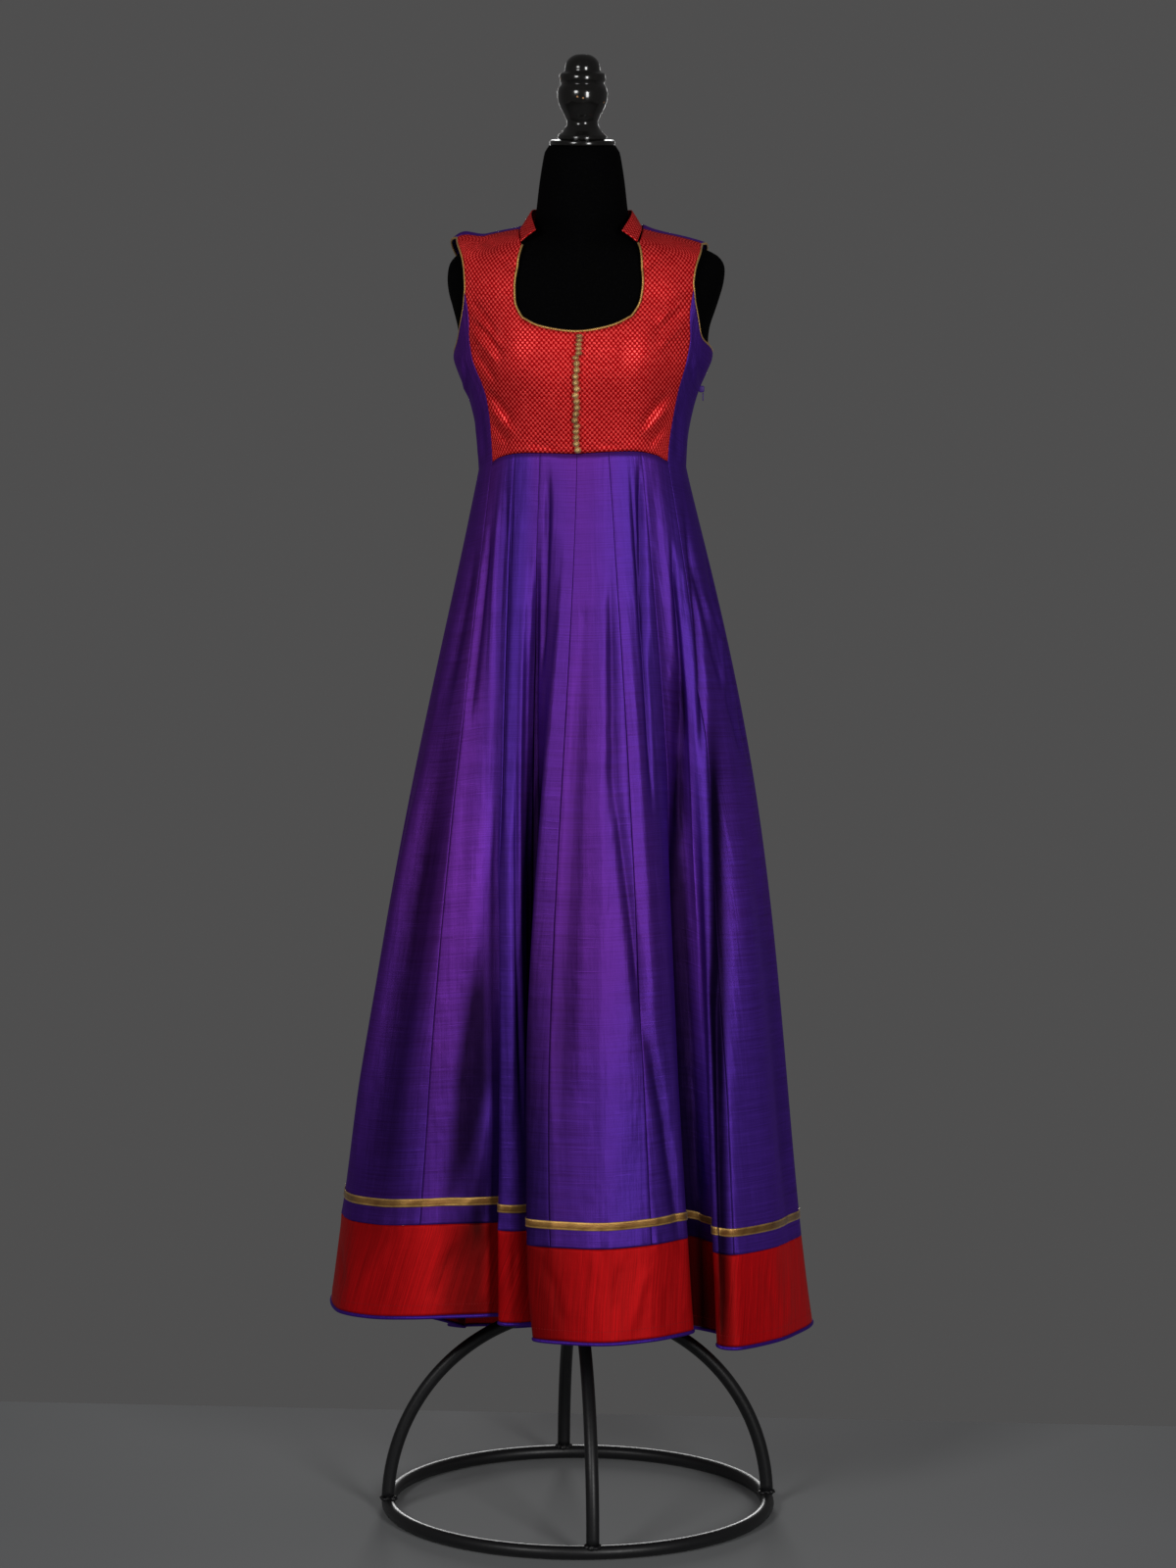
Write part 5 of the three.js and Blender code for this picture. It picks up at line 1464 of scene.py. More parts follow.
@dataclass
class Bodice:
    """Front and back yoke and the stand collar."""

    arm: int = 28
    princess: int = 44
    waist: int = 110
    neck: int = 12
    front_rows: int = 44
    back_rows: int = 64
    collar_columns: int = 150
    collar_rows: int = 14
    collar_wall: float = 1.3
    collar_tuck: float = 0.10       # share of its height that hides in the seam
    seam: Pair = (0.5, 1.6)

    def _outside(self, corner: int) -> Array:
        """The armhole and princess seam of a corner, from the shoulder down."""
        spot = CORNERS[corner]
        return np.vstack([spot.arm(self.arm + 1)[:-1], spot.seam_line(self.princess)])

    def _waist_line(self, start: int, end: int) -> Array:
        """The waist between two corners, without them."""
        angles = np.linspace(WAIST_SEAMS[start], WAIST_SEAMS[end], self.waist + 1)[1:-1]
        at = np.interp(angles, WAIST_SEAMS, np.arange(PANELS + 1))
        return SKIRT.waist(at)

    def _ruled(self, inside: Array, outside: Array, rows: int) -> Array:
        """Lays a yoke on the form.

        Args:
            inside: points of its edge at the neck.
            outside: points of its edge at the armholes and waist, as many.
            rows: rows of points from one to the other.
        Returns:
            The grid of points.
        """
        share = np.linspace(0, 1, rows)[:, None, None]
        p = TORSO.onto(mix(inside[None], outside[None], share))
        return grooved(TORSO.creased(p), self.seam, "tb")

    def neck_edge(self) -> tuple[Array, Array]:
        """Traces the front yoke.

        Returns:
            Points of its edge at the neck, and as many at the armholes and waist.
        """
        side = NECKLINE[3:][::-1]
        count = self.arm + self.princess - self.neck

        def flank(half: Side) -> Array:
            """The neck side of one half, from the shoulder seam down."""
            way = half.value[0]
            start = TORSO.facing(half.x(side[0]), side[0][2], -1.0)
            top = Path([TORSO.shoulder(way * NECK_POINT), start]).spread(self.neck + 1)
            line = [TORSO.facing(half.x(row), row[2], -1.0) for row in side]
            return np.vstack([top, Path(line).spread(count)[1:]])

        scoop = [TORSO.facing(Side.LEFT.x(row), row[2], -1.0) for row in NECKLINE[1:4][::-1]]
        scoop += [TORSO.facing(Side.RIGHT.x(row), row[2], -1.0) for row in NECKLINE[:4]]
        base = Path(scoop).spread(self.waist + 1)[1:-1]
        inside = np.vstack([flank(Side.LEFT), base, flank(Side.RIGHT)[::-1]])
        outside = np.vstack([self._outside(1), self._waist_line(1, 7), self._outside(7)[::-1]])
        return inside, outside

    def front(self) -> Piece:
        """The brocade front yoke."""
        points = self._ruled(*self.neck_edge(), self.front_rows)
        piece = walled(mapped("front_yoke", points, ChestGrain(-1.0).flat(points)))
        settle(piece, Brocade(), ["yoke_front"])
        return piece

    def back(self) -> Piece:
        """The plain silk back of the bodice."""
        outside = np.vstack([self._outside(9), self._waist_line(9, 15), self._outside(15)[::-1]])
        inside = Path(collar_foot()[1:-1]).spread(len(outside))
        points = self._ruled(inside, outside, self.back_rows)
        piece = walled(mapped("back_yoke", points, ChestGrain(1.0).flat(points)))
        settle(piece, PURPLE, ["yoke_back"])
        return piece

    def collar(self) -> Piece:
        """The low brocade stand collar, open in front."""
        foot = Path(collar_foot()).spread(self.collar_columns)
        half = [np.array(row, float) for row in COLLAR_TOP]
        top = Path(half + [p * np.array([-1, 1, 1]) for p in half[-2::-1]])
        top = top.spread(self.collar_columns)
        out = unit(foot * np.array([1, 1, 0]))
        share = np.linspace(0, 1, self.collar_rows)[:, None, None]
        points = mix(foot[None], top[None], mix(self.collar_tuck, 1.0, share))
        points = (points + out[None] * np.sin(math.pi * share))[::-1]
        piece = walled(mapped("stand_collar", points, unrolled(points)), self.collar_wall)
        settle(piece, Brocade(), ["collar"])
        return piece

    def build(self) -> list[Piece]:
        """All of the bodice."""
        return [self.front(), self.back(), self.collar()]


@dataclass
class SkirtPanels:
    """The twelve kalis and the four side panels."""

    columns: int = 34
    side_columns: int = 44
    coarse_rows: int = 120
    fine_rows: int = 34
    top_rows: int = 44
    fine_part: float = 80.0
    easing_rows: int = 9        # rows below the waist that meet the bodice's shape
    seam: Pair = (0.35, 1.3)

    def _rises(self, length: Array) -> Array:
        """Spreads rows down a panel, closer together near the hem band.

        Args:
            length: of each column, from waist to hem.
        Returns:
            Heights above the hem, by row and column.
        """
        top = (length - WAIST_GAP)[None]
        low = BORDER + SEAM_GAP / 2
        coarse = mix(top, low + self.fine_part, np.linspace(0, 1, self.coarse_rows)[:, None])
        fine = np.linspace(self.fine_part, 0, self.fine_rows)[1:, None] + low
        return np.vstack([coarse, np.broadcast_to(fine, (len(fine), coarse.shape[1]))])

    def below(self, panel: int, columns: int) -> tuple[Array, Array, Array]:
        """Lays a panel out below the waist.

        Args:
            panel: panels round to its first seam.
            columns: columns of points across it.
        Returns:
            The grid of points, their panels round, and their share of the way down.
        """
        at = panel + eased(columns)
        down = 1 - self._rises(SKIRT.length(at)) / SKIRT.length(at)[None]
        own = SKIRT.between_seams(at, down)
        return SKIRT.surface(own, down), own, down

    def _silk(self, node: str, points: Array, shot: Array,
              painted_shading: Array) -> tuple[Piece, Array]:
        """Sews a panel's edges in and dresses it.

        Args:
            node: the CAD node that it stands for.
            points: its grid.
            shot: how far each point's silk turns to blue.
            painted_shading: painted shade of each point, and painted light below 0.
        Returns:
            The piece, and its grid with the edges turned in.
        """
        points = grooved(points, self.seam, "lr")
        piece = walled(mapped(f"{node}_silk", points, trapezoid(points), shot=shot,
                              painted_shading=painted_shading))
        return settle(piece, PURPLE, [node]), points

    def kali(self, panel: int, node: str) -> Piece:
        """One gore from the waist to the hem band.

        Args:
            panel: panels round to its first seam.
            node: the CAD node that it stands for.
        Returns:
            The piece.
        """
        points, own, down = self.below(panel, self.columns)
        # painted shade in folds and creases darkens the gore's silk
        piece, points = self._silk(node, points, SKIRT.blueness(own, down),
                                   SKIRT.painted_shading(own, down))
        return piece

    def _top(self, panel: int) -> Array:
        """Lays the part of a side panel above the waist.

        Args:
            panel: panels round to its first seam.
        Returns:
            The grid of points, its last row at the waist.
        """
        first = panel in (7, 15)
        corner = CORNERS[panel if first else panel + 1]
        u, v = eased(self.side_columns), np.linspace(0, 1, self.top_rows)
        edge = Path(corner.underarm())
        top = edge.at(u if first else 1 - u)
        seam = corner.seam_line(self.top_rows)
        flank = TORSO.round(np.full(self.top_rows, corner.side.seam_angle()),
                            mix(UNDERARM_Z, WAIST_FOOT, v))
        left, right = (seam, flank) if first else (flank, seam)
        foot = SKIRT.base(panel + u, 0.0)
        across = mix(left[:, None], right[:, None], u[None, :, None])
        fall = mix(top[None], foot[None], v[:, None, None])
        upper = mix(top[0], top[-1], u[:, None])
        lower = mix(foot[0], foot[-1], u[:, None])
        corners = mix(upper[None], lower[None], v[:, None, None])
        return TORSO.creased(TORSO.onto(across + fall - corners))

    def side(self, panel: int, node: str) -> Piece:
        """A panel from the armhole to the hem band.

        Args:
            panel: panels round to its first seam.
            node: the CAD node that it stands for.
        Returns:
            The piece.
        """
        above = self._top(panel)
        points, own, down = self.below(panel, self.side_columns)
        easing = smooth(0, 1, np.linspace(0, 1, self.easing_rows))[:, None, None]
        points[:self.easing_rows] += (above[-1] - points[0])[None] * (1 - easing)
        rows = len(above) - 1
        shot = SKIRT.blueness(np.vstack([own[:1].repeat(rows, 0), own]),
                              np.vstack([np.zeros((rows, own.shape[1])), down]))
        # painted shade of the skirt below, faded out up the part above the waist
        skirt_shading = SKIRT.painted_shading(own, down)
        fade = np.linspace(0, 1, rows)[:, None] ** 4
        piece, grid = self._silk(node, np.vstack([above[:-1], points]), shot,
                                 np.vstack([skirt_shading[:1] * fade, skirt_shading]))
        return piece

    def build(self) -> list[Piece]:
        """All sixteen panels."""
        sides = {0: "side_front_left", 7: "side_front_right", 8: "side_back_right",
                 15: "side_back_left"}
        made = [self.side(panel, node) for panel, node in sides.items()]
        made += [self.kali(i, f"kali_front_{i}") for i in range(1, 7)]
        return made + [self.kali(8 + i, f"kali_back_{i}") for i in range(1, 7)]


@dataclass
class Hem:
    """The red band, its stitches, the gold ribbon and the piping at the foot."""

    per_panel: int = 32
    band_rows: int = 40
    stitch_rise: float = 17.0
    stitch_pitch: float = 3.6
    stitch: Triple = (1.1, 0.3, 0.28)       # half sizes
    seam: Pair = (0.5, 1.4)
    top_seam: Pair = (0.4, 1.4)
    band_wall: float = 1.2
    ribbon_wall: float = 0.5
    # across the ribbon: share of its width, and millimetres that it stands off
    ribbon_rows: tuple[Pair, ...] = (
        (1.0, 1.0), (0.9, 1.35), (0.5, 1.2), (0.1, 1.35), (0.0, 1.0))

    def band(self, number: int, start: int, end: int) -> Piece:
        """One length of the band.

        Args:
            number: which of the lengths it is, from 1.
            start: panels round to its first joint.
            end: panels round to its last joint.
        Returns:
            The piece.
        """
        at = np.linspace(start, end, (end - start) * self.per_panel + 1)
        rise = np.linspace(BORDER - SEAM_GAP / 2, 2 * HEM_PIPING_RADIUS, self.band_rows)
        down = 1 - rise[:, None] / SKIRT.length(at)[None]
        own = SKIRT.between_seams(at, down)
        points = grooved(SKIRT.surface(own, down), self.seam, "lr")
        points = grooved(points, self.top_seam, "t")
        across, _ = runs(points)
        y = np.broadcast_to(rise[:, None], across.shape)
        flat = np.stack([across, y], -1) * MM
        shot = 0.5 + 0.3 * np.sin(own * 2.1)
        # the band's red silk takes the skirt's painted shade in folds and creases
        piece = walled(mapped(f"hem_band_{number}", points, flat, shot=shot,
                              painted_shading=SKIRT.painted_shading(own, down)), self.band_wall)
        settle(piece, RED, [f"hem_border_{number}"])
        return piece

    def ribbon(self) -> Piece:
        """The gold ribbon sewn on above the band."""
        at = np.linspace(0, PANELS, PANELS * self.per_panel + 1)
        share, off = np.array(self.ribbon_rows).T
        rise = BORDER + RIBBON_RISE + RIBBON * share
        down = 1 - rise[:, None] / SKIRT.length(at)[None]
        points = np.stack([SKIRT.surface(at, low, out) for low, out in zip(down, off)])
        across, _ = runs(points)
        y = (rise - BORDER - RIBBON_RISE)[:, None]
        flat = np.stack([across, np.broadcast_to(y, across.shape)], -1) * MM
        piece = walled(mapped("gold_ribbon", points, flat, closed=True), self.ribbon_wall)
        settle(piece, GoldTissue("gold_ribbon_tissue", ribbed=True), ["ribbon"])
        return piece

    def piping(self) -> Piece:
        """The purple piping along the foot of the band."""
        at = np.linspace(0, PANELS, PANELS * self.per_panel, endpoint=False)
        edge = SKIRT.above(at, 2 * HEM_PIPING_RADIUS)
        normal = SKIRT.normal(at, edge)
        foot = SKIRT.surface(at, edge)
        fall = unit(SKIRT.base(at, 1.0) - SKIRT.base(at, edge))
        centre = foot - normal * WALL / 2 + fall * (HEM_PIPING_RADIUS + 0.05)
        piece = tube("hem_piping_cord", centre, normal, fall, HEM_PIPING_RADIUS, True)
        return settle(piece, PIPING_SILK, ["hem_piping"])

    def stitches(self) -> Piece:
        """The row of stitches above the piping."""
        at = np.linspace(0, PANELS, 3000)
        down = SKIRT.above(at, self.stitch_rise)
        line = SKIRT.surface(at, down, 0.1)
        run = run_length(line)
        count = int(run[-1] / self.stitch_pitch)
        middle = (np.arange(count) + 0.5) * run[-1] / count
        place, ahead = (read_line(middle + on, run, line) for on in (0.0, 0.6))
        out = SKIRT.normal(np.interp(middle, run, at), np.interp(middle, run, down))
        mesh = bmesh.new()
        for p, q, n in zip(place, ahead, out):
            x = Vector(q - p).normalized()
            z = Vector(n)
            y = z.cross(x).normalized()
            turn = Matrix((x, y, z)).transposed().to_4x4()
            size = Matrix.Diagonal((*self.stitch, 1.0))
            spot = Matrix.Scale(MM, 4) @ Matrix.Translation(Vector(p)) @ turn @ size
            bmesh.ops.create_icosphere(mesh, subdivisions=1, radius=1.0, matrix=spot)
        piece = object_from("hem_stitches", mesh)
        return settle(piece, Enamel("red_thread", (0.42, 0.008, 0.010)), [])

    def build(self) -> list[Piece]:
        """All of the hem."""
        ends = [*HEM_JOINTS[1:], HEM_JOINTS[0] + PANELS]
        made = [self.band(i + 1, a, b) for i, (a, b) in enumerate(zip(HEM_JOINTS, ends))]
        return made + [self.ribbon(), self.piping(), self.stitches()]


@dataclass
class Trims:
    """Piping round the neck and armholes, the covered buttons and a stray tag loop."""

    neck_points: int = 240
    arm_points: int = 220
    arm_half: int = 24
    arm_hole: Triple = (150, 0, 1505)       # a point in the opening
    neck_hole: Triple = (0, -70, 1540)
    button_count: int = 21
    button_sides: int = 20
    button_rings: int = 13
    button_swell: Triple = (1.2, 1.1, 1.18)
    button_press: float = 0.94
    gathers: int = 7
    gather: float = 0.055
    tag_points: int = 40
    tag_at: float = 5.93            # panels round
    tag_rise: Pair = (52, 6)        # above the hem
    tag_off: float = 2.2
    tag_curl: float = 1.2
    tag_radius: float = 0.42
    tag_end: float = 1.05

    def _edge_cord(self, name: str, edge: Array, hole: Array, closed: bool,
                   node: str) -> Piece:
        """Lays piping along an edge.

        Args:
            name: the piece's name.
            edge: points of the edge.
            hole: a point in the opening that the cord lines.
            closed: whether the edge runs back into its start.
            node: the CAD node that it stands for.
        Returns:
            The piece.
        """
        if closed:
            along = np.roll(edge, -1, axis=0) - np.roll(edge, 1, axis=0)
        else:
            along = np.gradient(edge, axis=0)
        along = unit(along)
        out = edge - TORSO.HEART
        out = unit(out - along * np.sum(out * along, -1, keepdims=True))
        open_side = hole - edge
        for way in (along, out):
            open_side = open_side - way * np.sum(open_side * way, -1, keepdims=True)
        open_side = unit(open_side)
        centre = TORSO.creased(edge) - out * WALL / 2 + open_side * PIPING_RADIUS
        piece = tube(name, centre, out, open_side, PIPING_RADIUS, closed)
        return settle(piece, GoldTissue("gold_piping_tissue"), [node])

    def neck(self, bodice: Bodice) -> Piece:
        """Piping of the neckline."""
        inside = bodice.neck_edge()[0][bodice.neck:-bodice.neck]
        edge = TORSO.onto(Path(inside[::3]).spread(self.neck_points))
        return self._edge_cord("neck_piping_cord", edge, np.array(self.neck_hole), False,
                               "neck_piping")

    def armhole(self, side: Side, name: str) -> Piece:
        """Piping of an armhole, closed under the arm.

        Args:
            side: the half of the garment.
            name: that half's name in the pieces' names.
        Returns:
            The piece.
        """
        corners = (CORNERS[1], CORNERS[15]) if side is Side.LEFT else (CORNERS[7], CORNERS[9])
        count = self.arm_half
        front, back = (np.vstack([corner.arm(count)[:-1],
                                  TORSO.onto(Path(corner.underarm()).spread(count))])
                       for corner in corners)
        loop = np.vstack([front[:-1], back[::-1][:-1], front[:1]])
        edge = TORSO.onto(Path(loop).spread(self.arm_points + 1)[:-1])
        hole = self.arm_hole * np.array([side.value[0], 1, 1])
        return self._edge_cord(f"armhole_piping_cord_{name}", edge, hole, True,
                               f"armhole_piping_{name}")

    def buttons(self) -> Piece:
        """The covered buttons, each a gathered ball of tissue."""
        rng = np.random.default_rng(21)
        mesh = bmesh.new()
        nodes = [f"button_{i + 1:02d}" for i in range(self.button_count)]
        for node in nodes:
            low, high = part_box(node)
            centre, size = (low + high) / 2, (high - low) / 2
            made = bmesh.ops.create_uvsphere(mesh, u_segments=self.button_sides,
                                             v_segments=self.button_rings, radius=1.0)
            tilt, roll, phase = rng.uniform(-0.7, 0.7), rng.uniform(-0.9, 0.9), rng.uniform(0, 6)
            turn = Matrix.Rotation(roll, 3, "Y") @ Matrix.Rotation(math.pi / 2 + tilt, 3, "X")
            swell_x, swell_y, swell_z = self.button_swell
            for vert in made["verts"]:
                p = vert.co.copy()
                round_it = math.atan2(p.y, p.x)
                pleat = self.gather * math.cos(self.gathers * round_it + 3 * p.z + phase)
                p *= 1.0 + pleat * (0.35 + 0.65 * p.z * p.z)
                p.z *= self.button_press
                q = turn @ p
                vert.co = centre + Vector((q.x * size.x * swell_x, q.y * size.y * swell_y,
                                           q.z * size.z * swell_z))
        layer = mesh.loops.layers.uv.new("cloth")
        for face in mesh.faces:
            for loop in face.loops:
                p = loop.vert.co
                loop[layer].uv = (p.x * 1.3 + p.z * 0.4, p.z)
        piece = object_from("covered_buttons", mesh)
        return settle(piece, GoldTissue("gold_button_tissue", (1.0, 0.66, 0.26),
                                        (0.20, 0.09, 0.02)), nodes)

    def tag_loop(self) -> Piece:
        """The white barb left where a tag was cut off, at the edge of a fold."""
        count = self.tag_points
        at = np.full(count, self.tag_at)
        down = SKIRT.above(at, np.linspace(*self.tag_rise, count))
        line = SKIRT.surface(at, down, self.tag_off)
        line[:, 0] += self.tag_curl * np.sin(np.linspace(0, 4.5, count))
        along = unit(np.gradient(line, axis=0))
        out = unit(np.cross(along, np.array([0.0, 0.0, 1.0]) + 0.2))
        radius = np.full(count, self.tag_radius)
        radius[:2] = radius[-2:] = self.tag_end
        piece = tube("tag_loop", line, out, np.cross(along, out), radius, False, 8)
        return settle(piece, Enamel("clear_nylon", (0.62, 0.62, 0.60)), [])

    def build(self, bodice: Bodice) -> list[Piece]:
        """All of the trims."""
        return [self.neck(bodice), self.armhole(Side.LEFT, "left"),
                self.armhole(Side.RIGHT, "right"), self.buttons(), self.tag_loop()]


@dataclass
class Zip:
    """The slider and pull tab at the top of the concealed zip."""

    taper: float = 0.72     # width of the slider's foot and of the tab's root
    rim: float = 0.00096
    seat: float = 0.0040    # how far the slider reaches in to the teeth under the seam
    body_round: float = 0.28        # bevels, as shares of the thickness
    tab_round: float = 0.25
    tab_square: float = 0.7
    tab_widening: Pair = (0.6, -0.8)
    bridge: float = 0.00045
    bridge_rise: float = 0.0026
    bridge_sink: float = 0.0002

    def slider(self) -> Piece:
        """The slider's rounded body with its bridge."""
        low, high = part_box("zip_slider")
        low.x -= self.seat
        centre, size = (low + high) / 2, high - low
        mesh = bmesh.new()
        made = bmesh.ops.create_cube(mesh, size=1.0)
        for vert in made["verts"]:
            narrow = self.taper if vert.co.z < 0 else 1.0
            vert.co = centre + Vector((vert.co.x * size.x, vert.co.y * size.y * narrow,
                                       vert.co.z * size.z))
        bmesh.ops.bevel(mesh, geom=list(mesh.edges), offset=size.x * self.body_round,
                        segments=4, profile=0.5, affect="EDGES", material=-1)
        foot = Vector((high.x - self.bridge_sink, centre.y, centre.z))
        bridge = bmesh.ops.create_circle(
            mesh, segments=12, radius=self.bridge,
            matrix=Matrix.Translation((foot.x, foot.y, foot.z + self.bridge_rise)))
        edges = list({edge for vert in bridge["verts"] for edge in vert.link_edges})
        bmesh.ops.spin(mesh, geom=bridge["verts"] + edges, axis=(0, 1, 0), angle=math.pi,
                       cent=foot, steps=14)
        piece = object_from("zip_slider_body", mesh)
        return settle(piece, Enamel("zip_enamel"), ["zip_slider"])

    def pull(self) -> Piece:
        """The tab that swings on the slider."""
        low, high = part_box("zip_pull")
        centre, size = (low + high) / 2, high - low
        mesh = bmesh.new()
        ring = bmesh.ops.create_circle(mesh, cap_ends=True, segments=32, radius=1.0)
        for vert in ring["verts"]:
            x, y = vert.co.x, vert.co.y
            broad = mix(self.taper, 1.0, float(smooth(*self.tab_widening, np.array(y))))
            square = abs(x) ** self.tab_square * math.copysign(1.0, x)
            vert.co = Vector((low.x, centre.y + square * broad * size.y / 2,
                              centre.z + y * size.z / 2))
        mesh.normal_update()
        face = mesh.faces[:]
        bmesh.ops.inset_region(mesh, faces=face, thickness=self.rim, use_boundary=True,
                               use_even_offset=True)
        bmesh.ops.delete(mesh, geom=face, context="FACES_ONLY")
        made = bmesh.ops.extrude_face_region(mesh, geom=mesh.faces[:])
        moved = [item for item in made["geom"] if isinstance(item, bmesh.types.BMVert)]
        bmesh.ops.translate(mesh, verts=moved, vec=(size.x, 0, 0))
        bmesh.ops.recalc_face_normals(mesh, faces=mesh.faces)
        sharp = [edge for edge in mesh.edges if edge.calc_face_angle(0.0) > 1.0]
        bmesh.ops.bevel(mesh, geom=sharp, offset=size.x * self.tab_round, segments=3,
                        profile=0.5, affect="EDGES", material=-1)
        piece = object_from("zip_pull_tab", mesh)
        return settle(piece, Enamel("zip_enamel"), ["zip_pull"], PULL)

    def build(self) -> list[Piece]:
        """The zip's hard pieces."""
        return [self.slider(), self.pull()]


@dataclass
class DressForm:
    """The limbless form with its neck cap and turned finial."""

    sides: int = 120
    rows: int = 190
    bottom: float = 935.0
    cap: tuple[Pair, ...] = (
        (0, 1681.4), (37.2, 1681.4), (38.6, 1681.9), (39, 1682.9), (39, 1686.2), (38.5, 1687.2),
        (37.4, 1687.6), (0, 1687.6))
    finial: tuple[Pair, ...] = (
        (0, 1688), (28.0, 1688), (29.1, 1689), (29.3, 1690.6), (29, 1693), (26.5, 1695.5),
        (21.5, 1701), (18.6, 1707.5), (19.5, 1713), (24, 1721.5), (28.6, 1732), (29.9, 1741.5),
        (29, 1749), (26, 1754), (25, 1755.5), (26.6, 1757.5), (27.6, 1762), (26.5, 1767),
        (22.5, 1768.8), (21.2, 1770.5), (20.8, 1776), (17.5, 1783.5), (10, 1789), (0, 1790.5))

    def body(self) -> Piece:
        """The jersey-covered torso and neck."""
        angle = np.linspace(0, 360, self.sides + 1)
        z = np.linspace(FORM_TOP, self.bottom, self.rows)
        points = TORSO.cast(vec(0, 0, z[:, None]), bearing(angle)[None], -FORM_INSET)
        points[:, -1] = points[:, 0]
        ends = []
        for row, turn_in in ((points[0], 1.0), (points[-1], -1.0)):
            middle = np.array([0.0, 0.0, row[0, 2]])
            ends.append([mix(middle, row, share) for share in (0.0, 0.5, 0.97)][::int(turn_in)])
        grid = np.concatenate([np.array(ends[0]), points, np.array(ends[1])])
        piece = mapped("dress_form", grid, unrolled(grid), closed=True)
        return settle(piece, Jersey(), ["form_body"])

    def build(self) -> list[Piece]:
        """The form and the turned pieces on it."""
        cap = settle(turned("neck_cap_disc", self.cap), Lacquer(), ["neck_cap"])
        knob = turned("turned_finial", self.finial, finer=110)
        settle(knob, Lacquer(), ["finial"])
        return [self.body(), cap, knob]


@dataclass
class Stand:
    """The iron cage: a ring on the floor, four curved legs, the pole and welds."""

    ring: float = 235.0
    tube: float = 17.0
    arc: float = 236.0
    rise: float = 244.0
    leg: float = 8.0
    turn: float = 8.5
    sleeve: float = 17.0
    sleeve_foot: float = 240.0
    sleeve_top: float = 306.0
    sleeve_edge: float = 1.0
    pole: float = 12.5
    form_foot: float = 934.7
    bite: float = 1.0       # how far a leg's end goes into the sleeve's wall
    # reach, height and half sizes of the welds at a leg's foot and head
    beads: tuple[tuple[float, float, Triple], ...] = (
        (235.0, 15.81, (10.5, 10.5, 4.2)), (20.0, 249.0, (6.0, 9.0, 9.0)))

    def base(self) -> Piece:
        """The ring on the floor."""
        mesh = bmesh.new()
        half = self.tube / 2
        spot = Matrix.Translation(Vector((self.ring, 0, half)) * MM)
        made = bmesh.ops.create_circle(mesh, segments=24, radius=half * MM,
                                       matrix=spot @ Matrix.Rotation(math.pi / 2, 4, "X"))
        bmesh.ops.spin(mesh, geom=made["verts"] + list(mesh.edges), cent=(0, 0, 0),
                       axis=(0, 0, 1), angle=FULL_TURN, steps=180, use_merge=True)
        piece = object_from("floor_ring", sealed(mesh))
        return settle(piece, PaintedIron(), ["base_ring"])

    def _leg_mesh(self, angle: float) -> Mesh:
        """Bends a quarter hoop and turns it to its place.

        Args:
            angle: degrees round the stand.
        Returns:
            The leg's mesh.
        """
        foot = math.asin((self.tube / 2 + SEAM_GAP) / self.arc)
        head = math.acos((self.sleeve - self.bite) / self.arc)
        mesh = bmesh.new()
        start = Matrix.Rotation(-foot, 4, "Y") @ Matrix.Translation((self.arc * MM, 0, 0))
        made = bmesh.ops.create_circle(mesh, segments=20, radius=self.leg * MM, matrix=start)
        bmesh.ops.spin(mesh, geom=made["verts"] + list(mesh.edges), cent=(0, 0, 0),
                       axis=(0, -1, 0), angle=head - foot, steps=48)
        bmesh.ops.scale(mesh, vec=(1, 1, self.rise / self.arc), verts=mesh.verts)
        bmesh.ops.translate(mesh, vec=(0, 0, self.tube / 2 * MM), verts=mesh.verts)
        bmesh.ops.rotate(mesh, cent=(0, 0, 0), verts=mesh.verts,
                         matrix=Matrix.Rotation(math.radians(angle), 3, "Z"))
        rim = [edge for edge in mesh.edges if edge.is_boundary]
        bmesh.ops.holes_fill(mesh, edges=rim, sides=0)
        bmesh.ops.recalc_face_normals(mesh, faces=mesh.faces)
        return mesh

    def legs(self) -> list[Piece]:
        """The four curved legs."""
        made = []
        for i, name in enumerate(("right", "back", "left", "front")):
            piece = object_from(f"curved_leg_{name}", self._leg_mesh(self.turn + 90 * i))
            made.append(settle(piece, PaintedIron(), [f"leg_{name}"]))
        return made

    def welds(self) -> Piece:
        """Beads where the legs meet the ring and the sleeve."""
        rng = np.random.default_rng(4)
        mesh = bmesh.new()
        for i in range(4):
            turn = Matrix.Rotation(math.radians(self.turn + 90 * i), 4, "Z")
            for reach, height, size in self.beads:
                spot = turn @ Matrix.Translation(Vector((reach, 0, height)) * MM)
                made = bmesh.ops.create_icosphere(mesh, subdivisions=4, radius=1.0)
                for vert in made["verts"]:
                    rough = 1.0 + 0.10 * math.sin(9 * vert.co.x + 7 * vert.co.y + i)
                    rough += 0.04 * rng.uniform(-1, 1)
                    local = [c * s * MM * rough for c, s in zip(vert.co, size)]
                    vert.co = spot @ Vector(local)
        piece = object_from("weld_beads", mesh)
        return settle(piece, PaintedIron(), [])

    def build(self) -> list[Piece]:
        """All of the stand."""
        foot, top, edge = self.sleeve_foot, self.sleeve_top, self.sleeve_edge
        outline = [(0, foot), (self.sleeve - edge, foot), (self.sleeve, foot + edge),
                   (self.sleeve, top - edge), (self.sleeve - edge, top), (self.pole, top),
                   (self.pole, self.form_foot), (0, self.form_foot)]
        post = turned("stand_pole", outline, 48)
        settle(post, PaintedIron(), ["pole"])
        return [self.base(), *self.legs(), self.welds(), post]


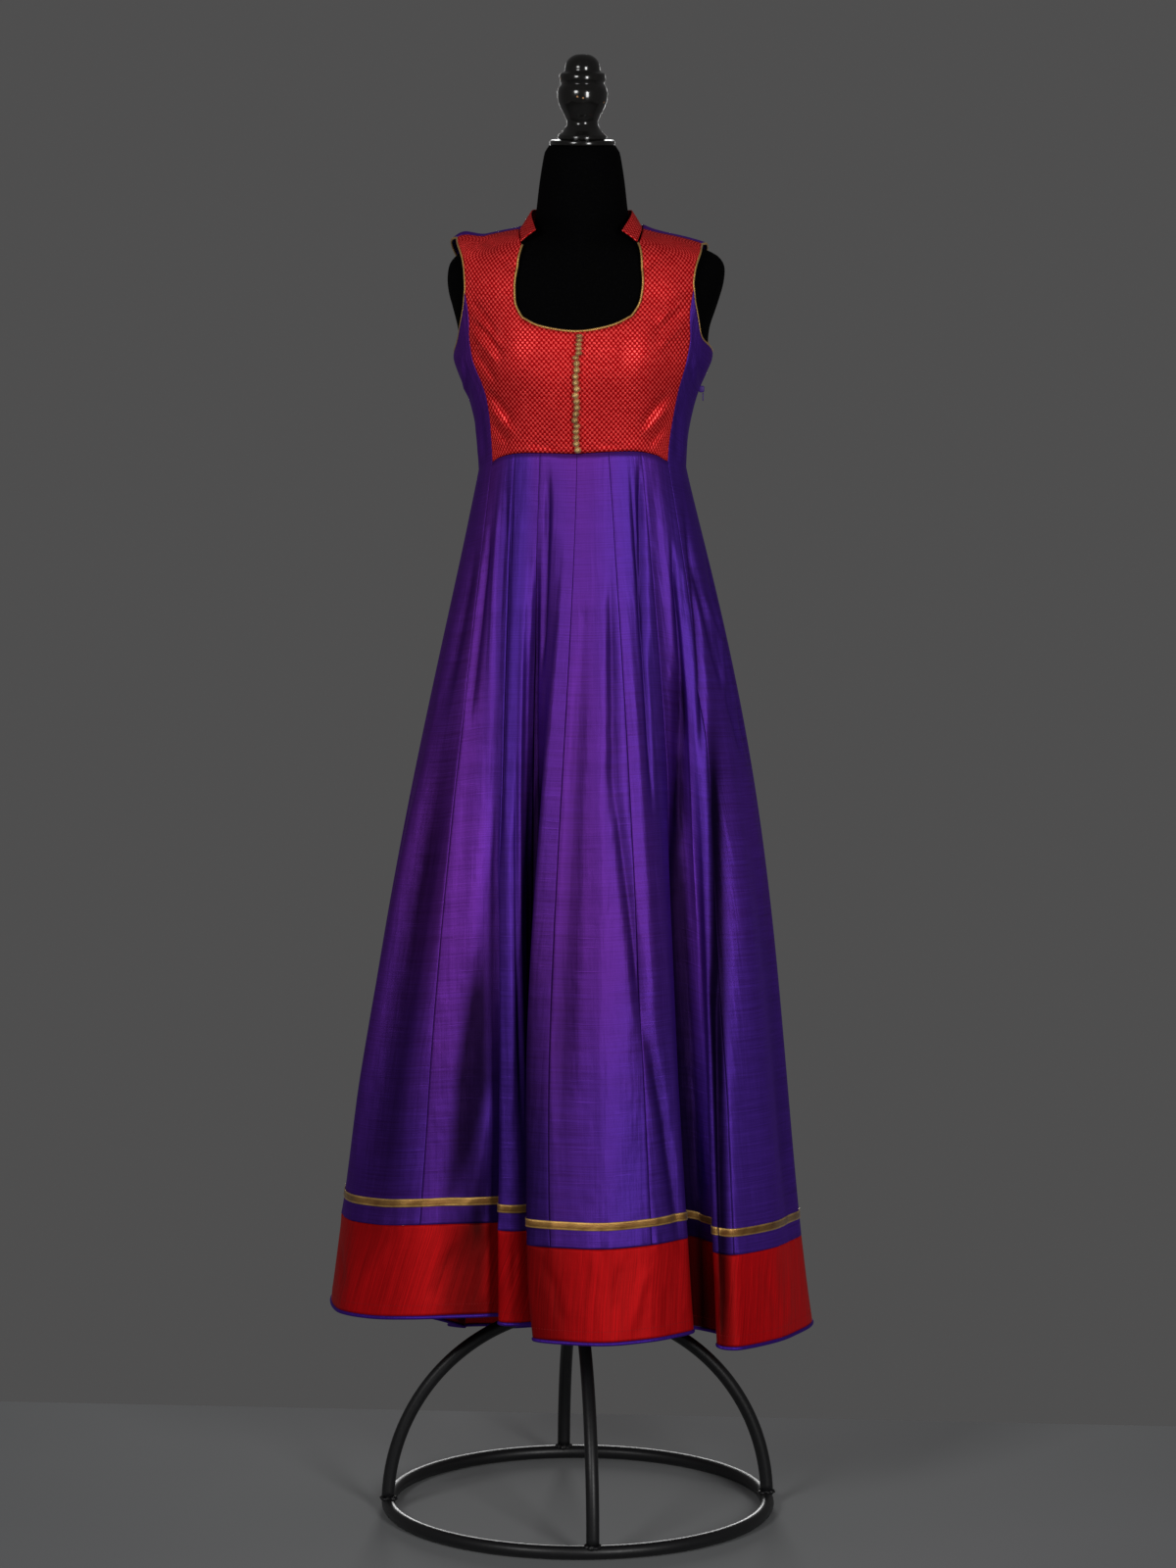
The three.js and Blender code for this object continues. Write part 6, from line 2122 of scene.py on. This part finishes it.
@dataclass
class Room:
    """Floor, lights and camera."""

    floor_reach: float = 3.6
    floor_depth: float = 3.7
    floor_edge: float = 0.46
    floor_drop: float = 0.0004
    sensor: float = 36.0
    clip: Pair = (0.1, 60.0)
    lens: float = 127.36
    place: Triple = (0.4769, -6.6830, 1.8535)
    tilt: float = 81.962
    yaw: float = 4.0
    roll: float = 0.2017
    # name, place, size, power, and the height on the form that it aims at
    lights: tuple[tuple[Any, ...], ...] = (
        ("key", (2.1, -4.1, 1.9), (0.9, 1.7), 13.4, 1.22),
        ("fill", (-1.9, -3.8, 2.7), (1.1, 1.1), 8.5, 1.20),
        ("rear", (-0.3, 4.2, 1.1), (0.8, 1.4), 5.5, 0.9))
    spread: float = 75.0
    air: tuple[float, float, float, float] = (0.83, 0.82, 0.82, 1.0)
    air_strength: float = 0.093

    def camera(self) -> None:
        """The camera, level with the form's neck and looking slightly down."""
        data = bpy.data.cameras.new("camera")
        data.lens, data.sensor_width = self.lens, self.sensor
        data.clip_start, data.clip_end = self.clip
        made = bpy.data.objects.new("camera", data)
        made.location = self.place
        turn = (Matrix.Rotation(math.radians(self.yaw), 3, "Z")
                @ Matrix.Rotation(math.radians(self.tilt), 3, "X")
                @ Matrix.Rotation(math.radians(self.roll), 3, "Z"))
        made.rotation_euler = turn.to_euler()
        bpy.context.scene.collection.objects.link(made)
        bpy.context.scene.camera = made

    def floor(self) -> None:
        """The pale floor, which ends a little way behind the stand."""
        mesh = bmesh.new()
        bmesh.ops.create_grid(mesh, x_segments=1, y_segments=1, size=self.floor_reach)
        bmesh.ops.scale(mesh, vec=(1, self.floor_depth / self.floor_reach / 2, 1),
                        verts=mesh.verts)
        middle = self.floor_edge - self.floor_depth / 2
        bmesh.ops.translate(mesh, vec=(0, middle, -self.floor_drop), verts=mesh.verts)
        made = object_from("floor", mesh, False)
        made.data.materials.append(WARDROBE.get(Studio()))

    def build(self) -> None:
        """All of the room."""
        self.camera()
        self.floor()
        for name, place, size, power, height in self.lights:
            data = bpy.data.lights.new(name, "AREA")
            data.shape = "RECTANGLE"
            data.size, data.size_y = size
            data.energy = power
            data.spread = math.radians(self.spread)
            lamp = bpy.data.objects.new(name, data)
            lamp.location = place
            aim = Vector((0, 0, height)) - Vector(place)
            lamp.rotation_euler = aim.to_track_quat("-Z", "Y").to_euler()
            bpy.context.scene.collection.objects.link(lamp)
        world = bpy.data.worlds.new("studio")
        world.use_nodes = True
        shade = world.node_tree.nodes["Background"].inputs
        shade["Color"].default_value = self.air
        shade["Strength"].default_value = self.air_strength
        bpy.context.scene.world = world
        bpy.context.scene.view_settings.view_transform = "Standard"


def main() -> None:
    """Builds the room and every piece in order."""
    logging.basicConfig(level=logging.INFO, format="%(message)s")
    Room().build()
    bodice = Bodice()
    assemblies: dict[str, Callable[[], list[Piece]]] = {
        "stand": Stand().build, "form": DressForm().build, "bodice": bodice.build,
        "panels": SkirtPanels().build, "hem": Hem().build,
        "trims": lambda: Trims().build(bodice), "zip": Zip().build,
    }
    for name, build in assemblies.items():
        for piece in build():
            LOG.info("%s: %s, %d faces", name, piece.name, len(piece.data.polygons))


if __name__ == "__main__":
    main()
